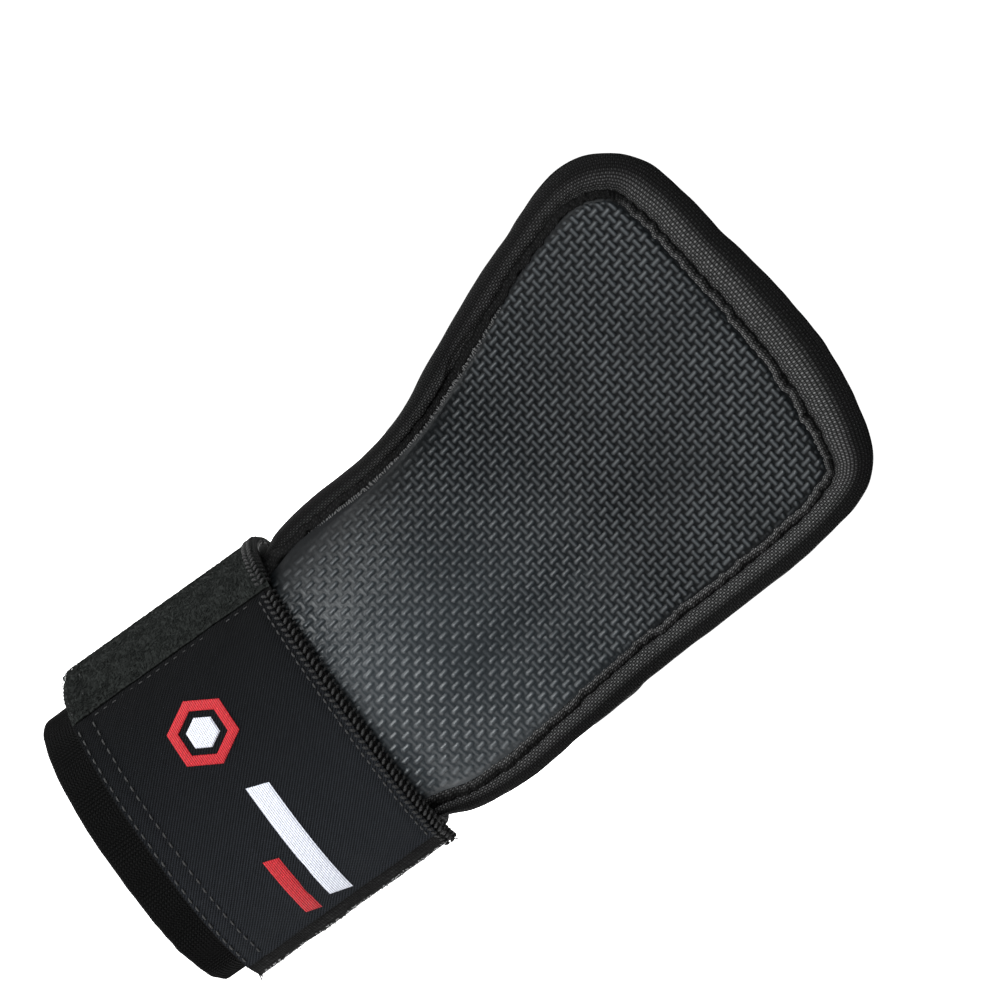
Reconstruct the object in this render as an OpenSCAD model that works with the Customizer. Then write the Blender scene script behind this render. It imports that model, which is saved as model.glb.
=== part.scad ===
// Palm grip with wrist strap: a rubber-faced padded palm shield sewn to an elastic
// wrist sleeve, closed by a hook-and-loop strap. One grip, for the left hand.
// Origin: centre of the wrist opening. +Z runs from the wrist to the fingers, -Y is the
// rubber palm face, -X is the thumb side. All sizes are in millimetres.

/* [Wrist sleeve] */
// Half width of the sleeve over its outside, across the wrist
sleeve_half_w = 35; // [34:0.5:36]
// Half depth of the sleeve over its outside, palm to back
sleeve_half_d = 24; // [23:0.5:24]
// Thickness of the ribbed elastic
sleeve_t = 2; // [1.5:0.1:2.5]
// Length of the sleeve below the middle of the wrist
sleeve_low = 28; // [22:1:34]
// Length of the sleeve above the middle of the wrist
sleeve_high = 32; // [28:1:33]

/* [Strap] */
// Width of the strap webbing
strap_w = 50; // [46:1:52]
// Height of the strap's top edge
strap_top = 33.2; // [31:0.2:34]
// Half width across the strap's landing surface
landing_half_w = 38.5; // [38:0.5:40]
// Depth of the strap's landing surface in front of the wrist centre
landing_front = 30.4; // [30:0.2:32]
// Thickness of the plush strap round the thumb side
plush_t = 2.5; // [2:0.1:3]
// Thickness of the hook tape
hook_t = 1.2; // [0.8:0.1:1.5]
// Thickness of the strap's end webbing
web_t = 1; // [0.8:0.1:1.4]
// Thickness of the woven label
label_t = 0.6; // [0.4:0.1:0.8]
// Gap between the hook tape and the plush landing
hook_gap = 0.3; // [0.3:0.05:0.6]

/* [Pad layers] */
// Thickness of the rubber face
rubber_t = 1.2; // [0.8:0.1:1.6]
// Thickness of the foam core
foam_t = 3.2; // [2.4:0.1:3.4]
// Thickness of the fabric lining
lining_t = 1; // [0.6:0.1:1.2]
// Thickness of the plush landing patch
loop_t = 1; // [0.6:0.1:1.2]
// Half depth of the rolled fabric rim
rim_half_t = 3.1; // [2.6:0.1:3.2]
// Width of the stitched ridge beside the rubber
ridge_w = 1.8; // [1.4:0.1:2]

/* [Pad shape] */
// Height of the line where the pad folds on the sleeve
fold_z = 39.5; // [39.5:0.5:41]
// Height of the line where the finger end curls
curl_z = 112; // [108:1:115]
// Depth of the hollow in the middle of the palm
palm_hollow = 8.5; // [5:0.5:10]
// Drop of the pad's sides towards the wrist, 30 mm off centre
side_drop = 8; // [5:0.5:9]
// Lean of the finger end towards the bar, per millimetre of height
tip_lean = 0.24; // [0.15:0.01:0.3]
// Half height of the flexible zone on each side of a fold line
flex_half = 3.5; // [3.5:0.1:4]

/* [Hidden] */

// Edge of the pad, from the heel on the little-finger side, over the finger end and
// down the thumb side: [x, z, width of the fabric rim there].
EDGE = [
    [31.5, 33, 6.6], [34.6, 41, 7.2], [35.5, 52, 7.6], [34.7, 65, 8], [33.2, 84, 8.4],
    [32.2, 104, 8.6], [30.9, 122, 8.9], [29, 135, 9], [25, 146, 10], [16, 152, 11.6],
    [-2, 154.8, 12.6], [-20, 153.8, 12.4], [-35, 151.4, 11.6], [-50, 149, 11.2],
    [-59.5, 144.4, 10.4], [-64.3, 136, 9.4], [-64.6, 126.5, 8.4], [-60, 112, 7.6],
    [-55.5, 100, 7.8], [-49.6, 86, 7.8], [-44.4, 75.5, 6.6], [-41.6, 64, 6.2],
    [-41, 50, 6.6], [-39.5, 40, 6], [-36.8, 33, 5.2]
];
EDGE_STEPS = 3;

sleeve_round = 2.2;        // superellipse power of the sleeve's section
strap_round = 2.5;         // and of the strap's
arc_step = 3;              // degrees of section angle between strap points
pad_t = rubber_t + foam_t + lining_t;
heel_top = fold_z - flex_half;
heel_low = -13;
tip_z = 115;               // above this height the finger end is flat
strap_low = strap_top - strap_w;
face_heel = -(landing_front - loop_t);
hollow_span = 111;
thread_t = 0.35;

// section angles of the strap's pieces: 90 is the back of the hand, 180 the thumb side
// and 270 the middle of the palm
anchor_from = 62;
anchor_to = 118;
peel_at = 228;
tab_end = 330;

// ---- wrist section curves -------------------------------------------------------

function spow(v, p) = sign(v) * pow(abs(v), p);
function oval(t, a, b, n) = [a * spow(cos(t), 2 / n), b * spow(sin(t), 2 / n)];
function oval_normal(p, a, b, n) =
    let (g = [spow(p[0] / a, n - 1) / a, spow(p[1] / b, n - 1) / b]) g / norm(g);

// sleeve curve at section angle t, moved out by d
function sleeve_at(t, d) =
    let (p = oval(t, sleeve_half_w, sleeve_half_d, sleeve_round))
    p + d * oval_normal(p, sleeve_half_w, sleeve_half_d, sleeve_round);

// strap curve: deep over the pad's heel in front, close to the sleeve behind
function strap_depth(t) = sin(t) < 0 ? landing_front : sleeve_half_d;
function strap_at(t, d) =
    let (b = strap_depth(t), p = oval(t, landing_half_w, b, strap_round))
    p + d * oval_normal(p, landing_half_w, b, strap_round);

// section angles from t0 to t1 by way of the shared angles between them, so that layers
// that lie on each other have the same corners
function arc_angles(t0, t1) =
    concat([t0],
           [for (t = [arc_step * ceil(t0 / arc_step + 0.01):arc_step:t1 - 0.02]) t],
           [t1]);
function flip(list) = [for (i = [len(list) - 1:-1:0]) list[i]];

// a strip of the strap between section angles t0 and t1 and offsets d0 and d1
module strap_strip(t0, t1, d0, d1, z0, z1) {
    ts = arc_angles(t0, t1);
    outer = [for (t = ts) strap_at(t, d1)];
    inner = [for (t = flip(ts)) strap_at(t, d0)];
    translate([0, 0, z0])
        linear_extrude(z1 - z0)
            polygon(concat(outer, inner));
}

// a row of stitches along the strap at height z, from angle t0 to t1
module strap_stitches(t0, t1, pitch, d, z) {
    for (t = [t0:pitch:t1 - pitch / 2])
        strap_strip(t, t + 0.62 * pitch, d, d + thread_t, z - 0.3, z + 0.3);
}

// ---- pad surface ------------------------------------------------------------------

function smooth_fall(z, z0, z1) =
    z <= z0 ? 1 : z >= z1 ? 0 : (1 + cos(180 * (z - z0) / (z1 - z0))) / 2;
function hollow(z) = palm_hollow * pow(sin(180 * (z - 34) / hollow_span), 2);
function face_mid(z) =
    z <= 34 ? face_heel
    : z <= tip_z ? face_heel + hollow(z)
    : face_heel + hollow(tip_z) - tip_lean * (z - tip_z);
function face_y(x, z) =
    face_mid(z) + side_drop * pow(abs(x) / 30, 2) * smooth_fall(z, 34, 82);

// ---- pad outline ------------------------------------------------------------------

function curve(a, b, c, d, t) =
    0.5 * (2 * b + (c - a) * t + (2 * a - 5 * b + 4 * c - d) * t * t
           + (3 * b - a - 3 * c + d) * t * t * t);
LAST = len(EDGE) - 1;
OUTLINE = concat(
    [for (i = [0:LAST - 1]) for (s = [0:EDGE_STEPS - 1])
        curve(EDGE[max(i - 1, 0)], EDGE[i], EDGE[i + 1], EDGE[min(i + 2, LAST)],
              s / EDGE_STEPS)],
    [EDGE[LAST]]);
COUNT = len(OUTLINE);

function out_normal(i) =
    let (a = OUTLINE[max(i - 1, 0)], b = OUTLINE[min(i + 1, COUNT - 1)],
         t = [b[0] - a[0], b[1] - a[1]])
    [t[1], -t[0]] / norm(t);

// outline moved in by share * rim width + extra: [x, z, rim]
function inset(share, extra) =
    [for (i = [0:COUNT - 1])
        let (p = OUTLINE[i], n = out_normal(i), d = share * p[2] + extra)
        [p[0] - n[0] * d, p[1] - n[1] * d, p[2]]];

// x of an inset outline at height z, on the thumb side (-1) or the other side (+1)
function side_x(pts, side, z) =
    lookup(z, [for (p = pts)
        if (side > 0 ? (p[0] > 0) : (p[0] < -30 && p[1] < 128)) [p[1], p[0]]]);

function mix(a, b, f) = a + (b - a) * f;

// closed body from a grid of outer and inner points, both listed row by row
module grid_body(outer, inner, rows, cols) {
    n = rows * cols;
    function id(r, c, side) = side * n + r * cols + c;
    faces = concat(
        [for (r = [0:rows - 2]) for (c = [0:cols - 2]) for (f = [
            [id(r, c, 0), id(r + 1, c, 0), id(r + 1, c + 1, 0)],
            [id(r, c, 0), id(r + 1, c + 1, 0), id(r, c + 1, 0)],
            [id(r, c, 1), id(r + 1, c + 1, 1), id(r + 1, c, 1)],
            [id(r, c, 1), id(r, c + 1, 1), id(r + 1, c + 1, 1)]]) f],
        [for (c = [0:cols - 2]) for (f = [
            [id(0, c, 0), id(0, c + 1, 0), id(0, c + 1, 1), id(0, c, 1)],
            [id(rows - 1, c, 0), id(rows - 1, c, 1), id(rows - 1, c + 1, 1),
             id(rows - 1, c + 1, 0)]]) f],
        [for (r = [0:rows - 2]) for (f = [
            [id(r, 0, 0), id(r, 0, 1), id(r + 1, 0, 1), id(r + 1, 0, 0)],
            [id(r, cols - 1, 0), id(r + 1, cols - 1, 0), id(r + 1, cols - 1, 1),
             id(r, cols - 1, 1)]]) f]);
    polyhedron(concat(outer, inner), faces);
}

// a layer of the pad between heights z0 and z1, inside an inset outline, at depths
// d0 and d1 behind the rubber's face
module pad_layer(share, extra, d0, d1, z0, z1, rows, cols) {
    pts = inset(share, extra);
    zs = [for (r = [0:rows - 1]) mix(z0, z1, r / (rows - 1))];
    spans = [for (z = zs) [side_x(pts, -1, z), side_x(pts, 1, z)]];
    places = [for (r = [0:rows - 1]) for (c = [0:cols - 1])
        [mix(spans[r][0], spans[r][1], c / (cols - 1)), zs[r]]];
    grid_body([for (p = places) [p[0], face_y(p[0], p[1]) + d0, p[1]]],
              [for (p = places) [p[0], face_y(p[0], p[1]) + d1, p[1]]], rows, cols);
}

// tube with an oval section through rings: [centre, half width vector, half depth]
module roll(rings, sides) {
    pts = [for (r = rings) for (k = [0:sides - 1])
        r[0] + r[1] * cos(360 * k / sides) + [0, r[2] * sin(360 * k / sides), 0]];
    n = len(rings);
    walls = [for (i = [0:n - 2]) for (k = [0:sides - 1]) for (f = [
        [i * sides + k, (i + 1) * sides + k, (i + 1) * sides + (k + 1) % sides],
        [i * sides + k, (i + 1) * sides + (k + 1) % sides, i * sides + (k + 1) % sides]]) f];
    caps = [[for (k = [0:sides - 1]) k], [for (k = [sides - 1:-1:0]) (n - 1) * sides + k]];
    polyhedron(pts, concat(walls, caps));
}

// rolled rim along one side of the palm, between heights z0 and z1
module side_roll(side, z0, z1, rows, sides) {
    outer = inset(0, 0);
    inner = inset(1, -ridge_w);
    zs = [for (r = [0:rows - 1]) mix(z0, z1, r / (rows - 1))];
    rings = [for (z = side > 0 ? zs : flip(zs))
        let (xa = side_x(outer, side, z), xb = side_x(inner, side, z), xm = (xa + xb) / 2)
        [[xm, face_y(xm, z) + pad_t / 2, z], [0.96 * (xa - xm), 0, 0], rim_half_t]];
    roll(rings, sides);
}

// a flat bar along one side of the palm, between two insets
module side_strip(side, extra0, extra1, d0, d1, z0, z1, rows) {
    pts0 = inset(1, extra0);
    pts1 = inset(1, extra1);
    zs = [for (r = [0:rows - 1]) mix(z0, z1, r / (rows - 1))];
    places = [for (z = zs) for (p = [pts0, pts1]) [side_x(p, side, z), z]];
    order = side > 0 ? [1, 0] : [0, 1];
    sorted = [for (r = [0:rows - 1]) for (k = order) places[2 * r + k]];
    grid_body([for (p = sorted) [p[0], face_y(p[0], p[1]) + d0, p[1]]],
              [for (p = sorted) [p[0], face_y(p[0], p[1]) + d1, p[1]]], rows, 2);
}

// ---- finger end: flat layers cut to an inset outline ---------------------------------

// the part of an inset outline above height z, closed along that height
function above(pts, z) =
    concat([[side_x(pts, 1, z), z]], [for (p = pts) if (p[1] > z + 0.5) [p[0], p[1]]],
           [[side_x(pts, -1, z), z]]);

// slab of the flat finger end between depths d0 and d1 behind the rubber's face
module tip_slab(d0, d1) {
    z0 = 100;
    z1 = 170;
    base = face_heel + hollow(tip_z);
    y0 = base - tip_lean * (z0 - tip_z);
    y1 = base - tip_lean * (z1 - tip_z);
    rotate([90, 0, 90])
        translate([0, 0, -80])
            linear_extrude(160)
                polygon([[y0 + d0, z0], [y0 + d1, z0], [y1 + d1, z1], [y1 + d0, z1]]);
}

module tip_prism(pts) {
    rotate([90, 0, 0])
        translate([0, 0, -20])
            linear_extrude(80)
                polygon(pts);
}

module finger_layer(share, extra, d0, d1) {
    intersection() {
        tip_prism(above(inset(share, extra), curl_z + flex_half));
        tip_slab(d0, d1);
    }
}

// ---- wrist pieces ---------------------------------------------------------------------

module elastic_sleeve() {
    ts = [for (t = [0:arc_step:359]) t];
    color([0.07, 0.07, 0.08])
        translate([0, 0, -sleeve_low])
            linear_extrude(sleeve_low + sleeve_high)
                difference() {
                    polygon([for (t = ts) sleeve_at(t, 0)]);
                    polygon([for (t = ts) sleeve_at(t, -sleeve_t)]);
                }
}

// taped seam that closes the sleeve into a ring, at the back of the wrist
module sleeve_seam() {
    ts = arc_angles(40, 55);
    tape_t = 0.8;
    color([0.1, 0.1, 0.11])
        translate([0, 0, -sleeve_low + 1])
            linear_extrude(sleeve_low + sleeve_high - 2)
                polygon(concat([for (t = ts) sleeve_at(t, tape_t)],
                               [for (t = flip(ts)) sleeve_at(t, 0)]));
}

module heel_strip(d0, d1, z0, z1) {
    strap_strip(231, 309, d0, d1, z0, z1);
}

module heel_lining() {
    color([0.12, 0.12, 0.13])
        heel_strip(-loop_t - pad_t, -loop_t - pad_t + lining_t, heel_low, heel_top);
}

module heel_foam() {
    color([0.25, 0.25, 0.26])
        heel_strip(-loop_t - rubber_t - foam_t, -loop_t - rubber_t, heel_low, heel_top);
}

module heel_rubber() {
    color([0.16, 0.17, 0.18])
        heel_strip(-loop_t - rubber_t, -loop_t, heel_low, heel_top);
}

// the rolled rim where it runs in under the strap, one length on each side
module heel_rim() {
    roll_r = 2.2;
    roll_low = 22;
    color([0.09, 0.09, 0.1])
        for (t = [225, 315]) {
            p = strap_at(t, -loop_t - roll_r - 1.2);
            translate([p[0], p[1], roll_low])
                cylinder(h = heel_top - roll_low, r = roll_r, $fn = 32);
        }
}

// plush patch that the hook tape grips
module loop_landing() {
    color([0.06, 0.07, 0.07])
        difference() {
            heel_strip(-loop_t, 0, strap_low + 1.8, strap_top - 1.4);
            landing_thread();
        }
}

module landing_thread() {
    for (z = [strap_low + 3, strap_top - 2.6])
        strap_stitches(233, 307, 3, -thread_t, z);
}

// thread rows sunk into the plush along the landing's two edges
module landing_stitches() {
    color([0.2, 0.2, 0.21])
        landing_thread();
}

// two thread rows that sew the pad's heel to the sleeve, below the heel's end
module heel_stitches() {
    color([0.2, 0.2, 0.21])
        for (z = [heel_low - 1.2, heel_low - 3])
            for (t = [252:3:286])
                sleeve_stitch(t, 1.9, z);
}

module sleeve_stitch(t, span, z) {
    ts = [t, t + span / 2, t + span];
    translate([0, 0, z - 0.3])
        linear_extrude(0.6)
            polygon(concat([for (a = ts) sleeve_at(a, thread_t)],
                           [for (a = flip(ts)) sleeve_at(a, 0)]));
}

// end of the plush strap, sewn flat to the back of the sleeve
module band_anchor() {
    ts = arc_angles(anchor_from, anchor_to);
    color([0.07, 0.08, 0.07])
        translate([0, 0, strap_low])
            linear_extrude(min(strap_w, sleeve_high - strap_low))
                polygon(concat([for (t = ts) strap_at(t, plush_t)],
                               [for (t = flip(ts)) sleeve_at(t, 0)]));
}

// box stitch that holds the strap's sewn end
module anchor_stitches() {
    top = min(strap_top, sleeve_high) - 4;
    low = strap_low + 4;
    color([0.2, 0.2, 0.21]) {
        for (z = [low, top])
            strap_stitches(anchor_from + 4, anchor_to - 8, 3, plush_t, z);
        for (t = [anchor_from + 3, anchor_to - 10])
            for (z = [low + 2:3:top - 2])
                strap_strip(t, t + 0.9, plush_t, plush_t + thread_t, z, z + 1.9);
    }
}

// ---- pad pieces ------------------------------------------------------------------------

palm_low = fold_z + flex_half;
palm_high = curl_z - flex_half;
palm_rows = 10;
palm_cols = 8;
roll_rows = 11;
roll_sides = 10;
edge_clear = 0.1;
ridge_proud = 0.2;         // how far the ridge stands out of the rubber's face

// a bending zone of the pad, with the rolled rim's two short lengths
module flex_zone(z0, z1, cols) {
    color([0.16, 0.17, 0.18]) {
        pad_layer(1, edge_clear - ridge_w, 0, pad_t, z0, z1, 3, cols);
        for (side = [-1, 1])
            side_roll(side, z0, z1, 3, roll_sides);
    }
}

// bending zone where the pad folds on the sleeve
module heel_flex() {
    flex_zone(heel_top + edge_clear, palm_low - edge_clear, palm_cols);
}

module palm_lining() {
    color([0.12, 0.12, 0.13])
        pad_layer(1, 0, rubber_t + foam_t, pad_t, palm_low, palm_high, palm_rows, palm_cols);
}

module palm_foam() {
    color([0.25, 0.25, 0.26])
        pad_layer(1, 0, rubber_t, rubber_t + foam_t, palm_low, palm_high, palm_rows, palm_cols);
}

module palm_rubber() {
    color([0.16, 0.17, 0.18])
        pad_layer(1, 0, 0, rubber_t, palm_low, palm_high, palm_rows, palm_cols);
}

module palm_rim() {
    color([0.09, 0.09, 0.1])
        for (side = [-1, 1])
            side_roll(side, palm_low, palm_high, roll_rows, roll_sides);
}

// folded fabric sewn through the pad between the layers' edge and the rolled rim
module palm_ridge() {
    color([0.1, 0.1, 0.11])
        for (side = [-1, 1])
            side_strip(side, edge_clear - ridge_w, -edge_clear, -ridge_proud, pad_t, palm_low,
                       palm_high, palm_rows);
}

// bending zone where the finger end curls
module curl_flex() {
    flex_zone(palm_high + edge_clear, curl_z + flex_half - edge_clear, 6);
}

module finger_lining() {
    color([0.12, 0.12, 0.13])
        finger_layer(1, 0, rubber_t + foam_t, pad_t);
}

module finger_foam() {
    color([0.25, 0.25, 0.26])
        finger_layer(1, 0, rubber_t, rubber_t + foam_t);
}

module finger_rubber() {
    color([0.16, 0.17, 0.18])
        finger_layer(1, 0, 0, rubber_t);
}

// the rolled rim round the finger end, one tube
module finger_rim() {
    outer = above(inset(0, 0), curl_z + flex_half);
    centre = above(inset(0.5, -ridge_w / 2), curl_z + flex_half);
    count = min(len(outer), len(centre));
    rings = [for (i = [0:count - 1])
        let (c = centre[i], o = outer[i], w = [o[0] - c[0], 0, o[1] - c[1]])
        [[c[0], face_mid(c[1]) + pad_t / 2, c[1]], 0.96 * [w[0], -tip_lean * w[2], w[2]],
         rim_half_t]];
    color([0.09, 0.09, 0.1])
        roll(rings, roll_sides);
}

module finger_ridge() {
    color([0.1, 0.1, 0.11])
        difference() {
            finger_layer(1, edge_clear - ridge_w, -ridge_proud, pad_t);
            tip_prism(concat([[side_x(inset(1, -edge_clear), 1, 100), 100]],
                             above(inset(1, -edge_clear), curl_z + flex_half - 2),
                             [[side_x(inset(1, -edge_clear), -1, 100), 100]]));
        }
}

// ---- strap pieces --------------------------------------------------------------------------

web_in = hook_gap + hook_t;
web_out = web_in + web_t;
label_out = web_out + label_t;
binding_h = 1.8;
band_gap_angle = 0.9;      // section angle left open beside each strap fold

// plush strap round the thumb side; it thickens to meet the tab in front
module thumb_band() {
    ts = arc_angles(anchor_to + band_gap_angle, peel_at - band_gap_angle);
    function lift(t) = (label_out - plush_t) * smooth_fall(-t, -225, -190);
    color([0.07, 0.08, 0.07])
        translate([0, 0, strap_low])
            linear_extrude(strap_w)
                polygon(concat([for (t = ts) strap_at(t, plush_t + lift(t))],
                               [for (t = flip(ts)) strap_at(t, 0.3 + lift(t))]));
}

// overlock stitching along the plush strap's top edge
module band_binding() {
    ts = arc_angles(anchor_to + 2, peel_at - 3);
    function lift(t) = (label_out - plush_t) * smooth_fall(-t, -225, -190);
    color([0.12, 0.12, 0.13])
        translate([0, 0, strap_top])
            linear_extrude(0.5)
                polygon(concat([for (t = ts) strap_at(t, plush_t + lift(t))],
                               [for (t = flip(ts)) strap_at(t, 0.3 + lift(t))]));
}

module band_stitches() {
    color([0.2, 0.2, 0.21])
        for (z = [strap_low + 1, strap_low + 4.6])
            strap_stitches(anchor_to + 6, 189, 4, plush_t, z);
}

module tab_web() {
    color([0.08, 0.08, 0.09])
        strap_strip(peel_at + band_gap_angle, tab_end - 6, web_in, web_out, strap_low,
                    strap_top);
}

module tab_hook() {
    color([0.05, 0.05, 0.06])
        strap_strip(peel_at + 3, tab_end - 8, hook_gap, web_in, strap_low + 2,
                    strap_top - 1.6);
}

module tab_label() {
    color([0.08, 0.08, 0.1])
        strap_strip(peel_at + 1.2, tab_end - 7, web_out, label_out, strap_low + 0.4,
                    strap_top - binding_h - 0.2);
}

// folded end of the strap, twice the webbing's thickness
module tab_hem() {
    color([0.06, 0.06, 0.07])
        strap_strip(tab_end - 6, tab_end, web_in - 0.9, label_out + 0.4, strap_low, strap_top);
}

// overlock stitching along the tab's top edge, over its face and its edge
module tab_binding() {
    color([0.12, 0.12, 0.13])
        union() {
            strap_strip(peel_at + 1.2, tab_end - 7, web_out, label_out + 0.3,
                        strap_top - binding_h, strap_top + 0.5);
            strap_strip(peel_at + 1.2, tab_end - 7, web_in, web_out, strap_top,
                        strap_top + 0.5);
        }
}

module tab_stitches() {
    color([0.25, 0.25, 0.26])
        for (z = [strap_low + 1, strap_low + 4.6, strap_top - 3.4])
            strap_stitches(peel_at + 4, tab_end - 9, 2.6, label_out, z);
}

// upright stitch line where the label joins the plush strap
module label_seam() {
    color([0.25, 0.25, 0.26])
        for (z = [strap_low + 6:2.6:strap_top - 7])
            strap_strip(peel_at + 1.8, peel_at + 2.5, label_out, label_out + thread_t, z, z + 1.6);
}

// a flat shape drawn in X and Z, laid on the label's curved face
module on_label() {
    intersection() {
        rotate([90, 0, 0])
            linear_extrude(60)
                children();
        strap_strip(peel_at + 4, tab_end - 9, label_out, label_out + 0.25, strap_low + 5,
                    strap_top - 5);
    }
}

badge_x = -13;
badge_z = 6;
badge_r = 7.5;

// six-sided ring and short bar woven into the label
module mark_red() {
    color([0.84, 0.16, 0.2])
        on_label()
            union() {
                translate([badge_x, badge_z])
                    difference() {
                        circle(r = badge_r, $fn = 6);
                        circle(r = badge_r - 2.4, $fn = 6);
                    }
                translate([16, 0.4])
                    square([14, 3.2]);
            }
}

// six-sided centre and long bar woven into the label
module mark_white() {
    color([0.93, 0.93, 0.95])
        on_label()
            union() {
                translate([badge_x, badge_z])
                    circle(r = badge_r - 4, $fn = 6);
                translate([2, 6.6])
                    square([28, 4.6]);
            }
}

elastic_sleeve();
sleeve_seam();
heel_lining();
heel_foam();
heel_rubber();
heel_rim();
loop_landing();
landing_stitches();
heel_stitches();
band_anchor();
anchor_stitches();
heel_flex();
palm_lining();
palm_foam();
palm_rubber();
palm_rim();
palm_ridge();
curl_flex();
finger_lining();
finger_foam();
finger_rubber();
finger_rim();
finger_ridge();
thumb_band();
band_binding();
band_stitches();
tab_web();
tab_hook();
tab_label();
tab_hem();
tab_binding();
tab_stitches();
label_seam();
mark_red();
mark_white();
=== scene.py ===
"""Looks of the palm grip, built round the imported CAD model.

Lengths in the geometry functions are millimetres in the frame's axes (+Z wrist to fingers, -Y out of
the rubber face, -X the thumb side). make_piece() turns them into metres.
"""
import math

import bpy
import numpy as np
from mathutils import Matrix, Vector


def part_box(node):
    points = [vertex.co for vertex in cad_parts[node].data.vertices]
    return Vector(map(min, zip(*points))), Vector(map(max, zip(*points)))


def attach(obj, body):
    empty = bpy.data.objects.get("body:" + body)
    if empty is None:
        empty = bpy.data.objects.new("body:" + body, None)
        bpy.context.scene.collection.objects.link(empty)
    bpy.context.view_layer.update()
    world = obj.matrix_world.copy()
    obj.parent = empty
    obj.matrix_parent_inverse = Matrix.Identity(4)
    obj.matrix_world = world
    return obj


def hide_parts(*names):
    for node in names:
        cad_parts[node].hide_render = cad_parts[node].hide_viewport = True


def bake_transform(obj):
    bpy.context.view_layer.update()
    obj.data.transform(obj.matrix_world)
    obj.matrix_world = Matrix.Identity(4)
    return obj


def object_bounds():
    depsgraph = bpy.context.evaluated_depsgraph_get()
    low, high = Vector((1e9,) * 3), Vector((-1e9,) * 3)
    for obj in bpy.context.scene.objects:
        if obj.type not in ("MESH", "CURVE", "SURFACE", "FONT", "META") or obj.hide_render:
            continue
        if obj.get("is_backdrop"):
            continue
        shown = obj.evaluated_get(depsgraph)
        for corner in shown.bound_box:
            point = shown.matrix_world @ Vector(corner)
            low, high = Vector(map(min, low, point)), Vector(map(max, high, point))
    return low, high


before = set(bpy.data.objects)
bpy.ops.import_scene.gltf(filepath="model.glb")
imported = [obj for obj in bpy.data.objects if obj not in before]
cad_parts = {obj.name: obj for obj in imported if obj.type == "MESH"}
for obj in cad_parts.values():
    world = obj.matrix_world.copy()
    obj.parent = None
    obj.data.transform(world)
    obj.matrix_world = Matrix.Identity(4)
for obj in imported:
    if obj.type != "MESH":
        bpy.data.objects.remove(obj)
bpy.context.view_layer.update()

MM = 0.001
rng = np.random.default_rng(7)

# ---- driving sizes, in millimetres


def node_box(node):
    low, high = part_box(node)
    return np.array(low) / MM, np.array(high) / MM


SLEEVE_LOW, SLEEVE_HIGH = node_box("elastic_sleeve")
SLEEVE_W, SLEEVE_D = SLEEVE_HIGH[:2]                    # half width and half depth
SLEEVE_T = 2.0
STRAP_Z0, STRAP_Z1 = (corner[2] for corner in node_box("tab_web"))
LANDING_W, LANDING_FRONT = 38.5, 30.4                   # half width and depth under the strap
SLEEVE_POWER, STRAP_POWER = 2.2, 2.5                    # superellipse powers of the sections
LOOP_T, PLUSH_T = 1.0, 2.5
HOOK_IN, WEB_IN, WEB_OUT, LABEL_OUT = 0.3, 1.5, 2.5, 3.1  # offsets from the landing surface
RUBBER_T, FOAM_T, LINING_T = 1.2, 3.2, 1.0
PAD_T = RUBBER_T + FOAM_T + LINING_T
ROLL_HALF_T = 3.1
ANCHOR_FROM, ANCHOR_TO = 62, 118                        # section angles of the strap's sewn end
THUMB_SIDE = 180                                        # where the strap is split in two sheets
PEEL_AT, TAB_END = 228, 330                             # and where the tab starts and ends
LANDING_FROM, LANDING_TO = 231, 309                     # section angles of the plush patch
HEEL_FROM, HEEL_TO = 252, 288                           # and of the pad's sewn heel
HEEL_LOW, ROLL_LOW, SPLIT_Z = node_box("heel_rubber")[0][2], 22.0, 75.0
FACE_HEEL = -(LANDING_FRONT - LOOP_T)
HEEL_HALF_W = 37.5
PALM_LOW, PALM_BLEND = 34, (33, 39)                     # heights where the palm's own curve begins
PALM_HOLLOW, HOLLOW_SPAN = 8.5, 111.0
SIDE_DROP, DROP_SPAN, DROP_HALF_W = 8.0, 48, 30         # the sides fall away next to the heel
TIP_Z, TIP_LEAN = 115.0, 0.24

# Edge of the pad, from the heel on the little-finger side over the finger end and down the
# thumb side: (x, z, width of the fabric rim). The two ends run in under the strap.
EDGE = [
    (29.5, -13, 5.5), (29.6, 8, 5.6), (30.2, 22, 6), (31.5, 33, 6.6), (34.6, 41, 7.2),
    (35.5, 52, 7.6), (34.7, 65, 8), (33.2, 84, 8.4), (32.2, 104, 8.6), (30.9, 122, 8.9),
    (29, 135, 9), (25, 146, 10), (16, 152, 11.6), (-2, 154.8, 12.6), (-20, 153.8, 12.4),
    (-35, 151.4, 11.6), (-50, 149, 11.2), (-59.5, 144.4, 10.4), (-64.3, 136, 9.4),
    (-64.6, 126.5, 8.4), (-60, 112, 7.6), (-55.5, 100, 7.8), (-49.6, 86, 7.8),
    (-44.4, 75.5, 6.6), (-41.6, 64, 6.2), (-41, 50, 6.6), (-39.5, 40, 6), (-36.8, 33, 5.2),
    (-34.2, 22, 4.8), (-32.5, 8, 4.6), (-32, -13, 4.5),
]

# ---- curves and surfaces


def join(*parts):
    """Coordinates stacked along a new last axis, each spread to their common shape."""
    return np.stack(np.broadcast_arrays(*parts), -1)


def unit(vectors):
    return vectors / np.linalg.norm(vectors, axis=-1, keepdims=True)


def smoothstep(x, x0, x1):
    t = np.clip((x - x0) / (x1 - x0), 0, 1)
    return t * t * (3 - 2 * t)


def bell(x, centre, width):
    return np.exp(-((x - centre) / width) ** 2)


def signed_power(x, power):
    return np.sign(x) * np.abs(x) ** power


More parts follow.
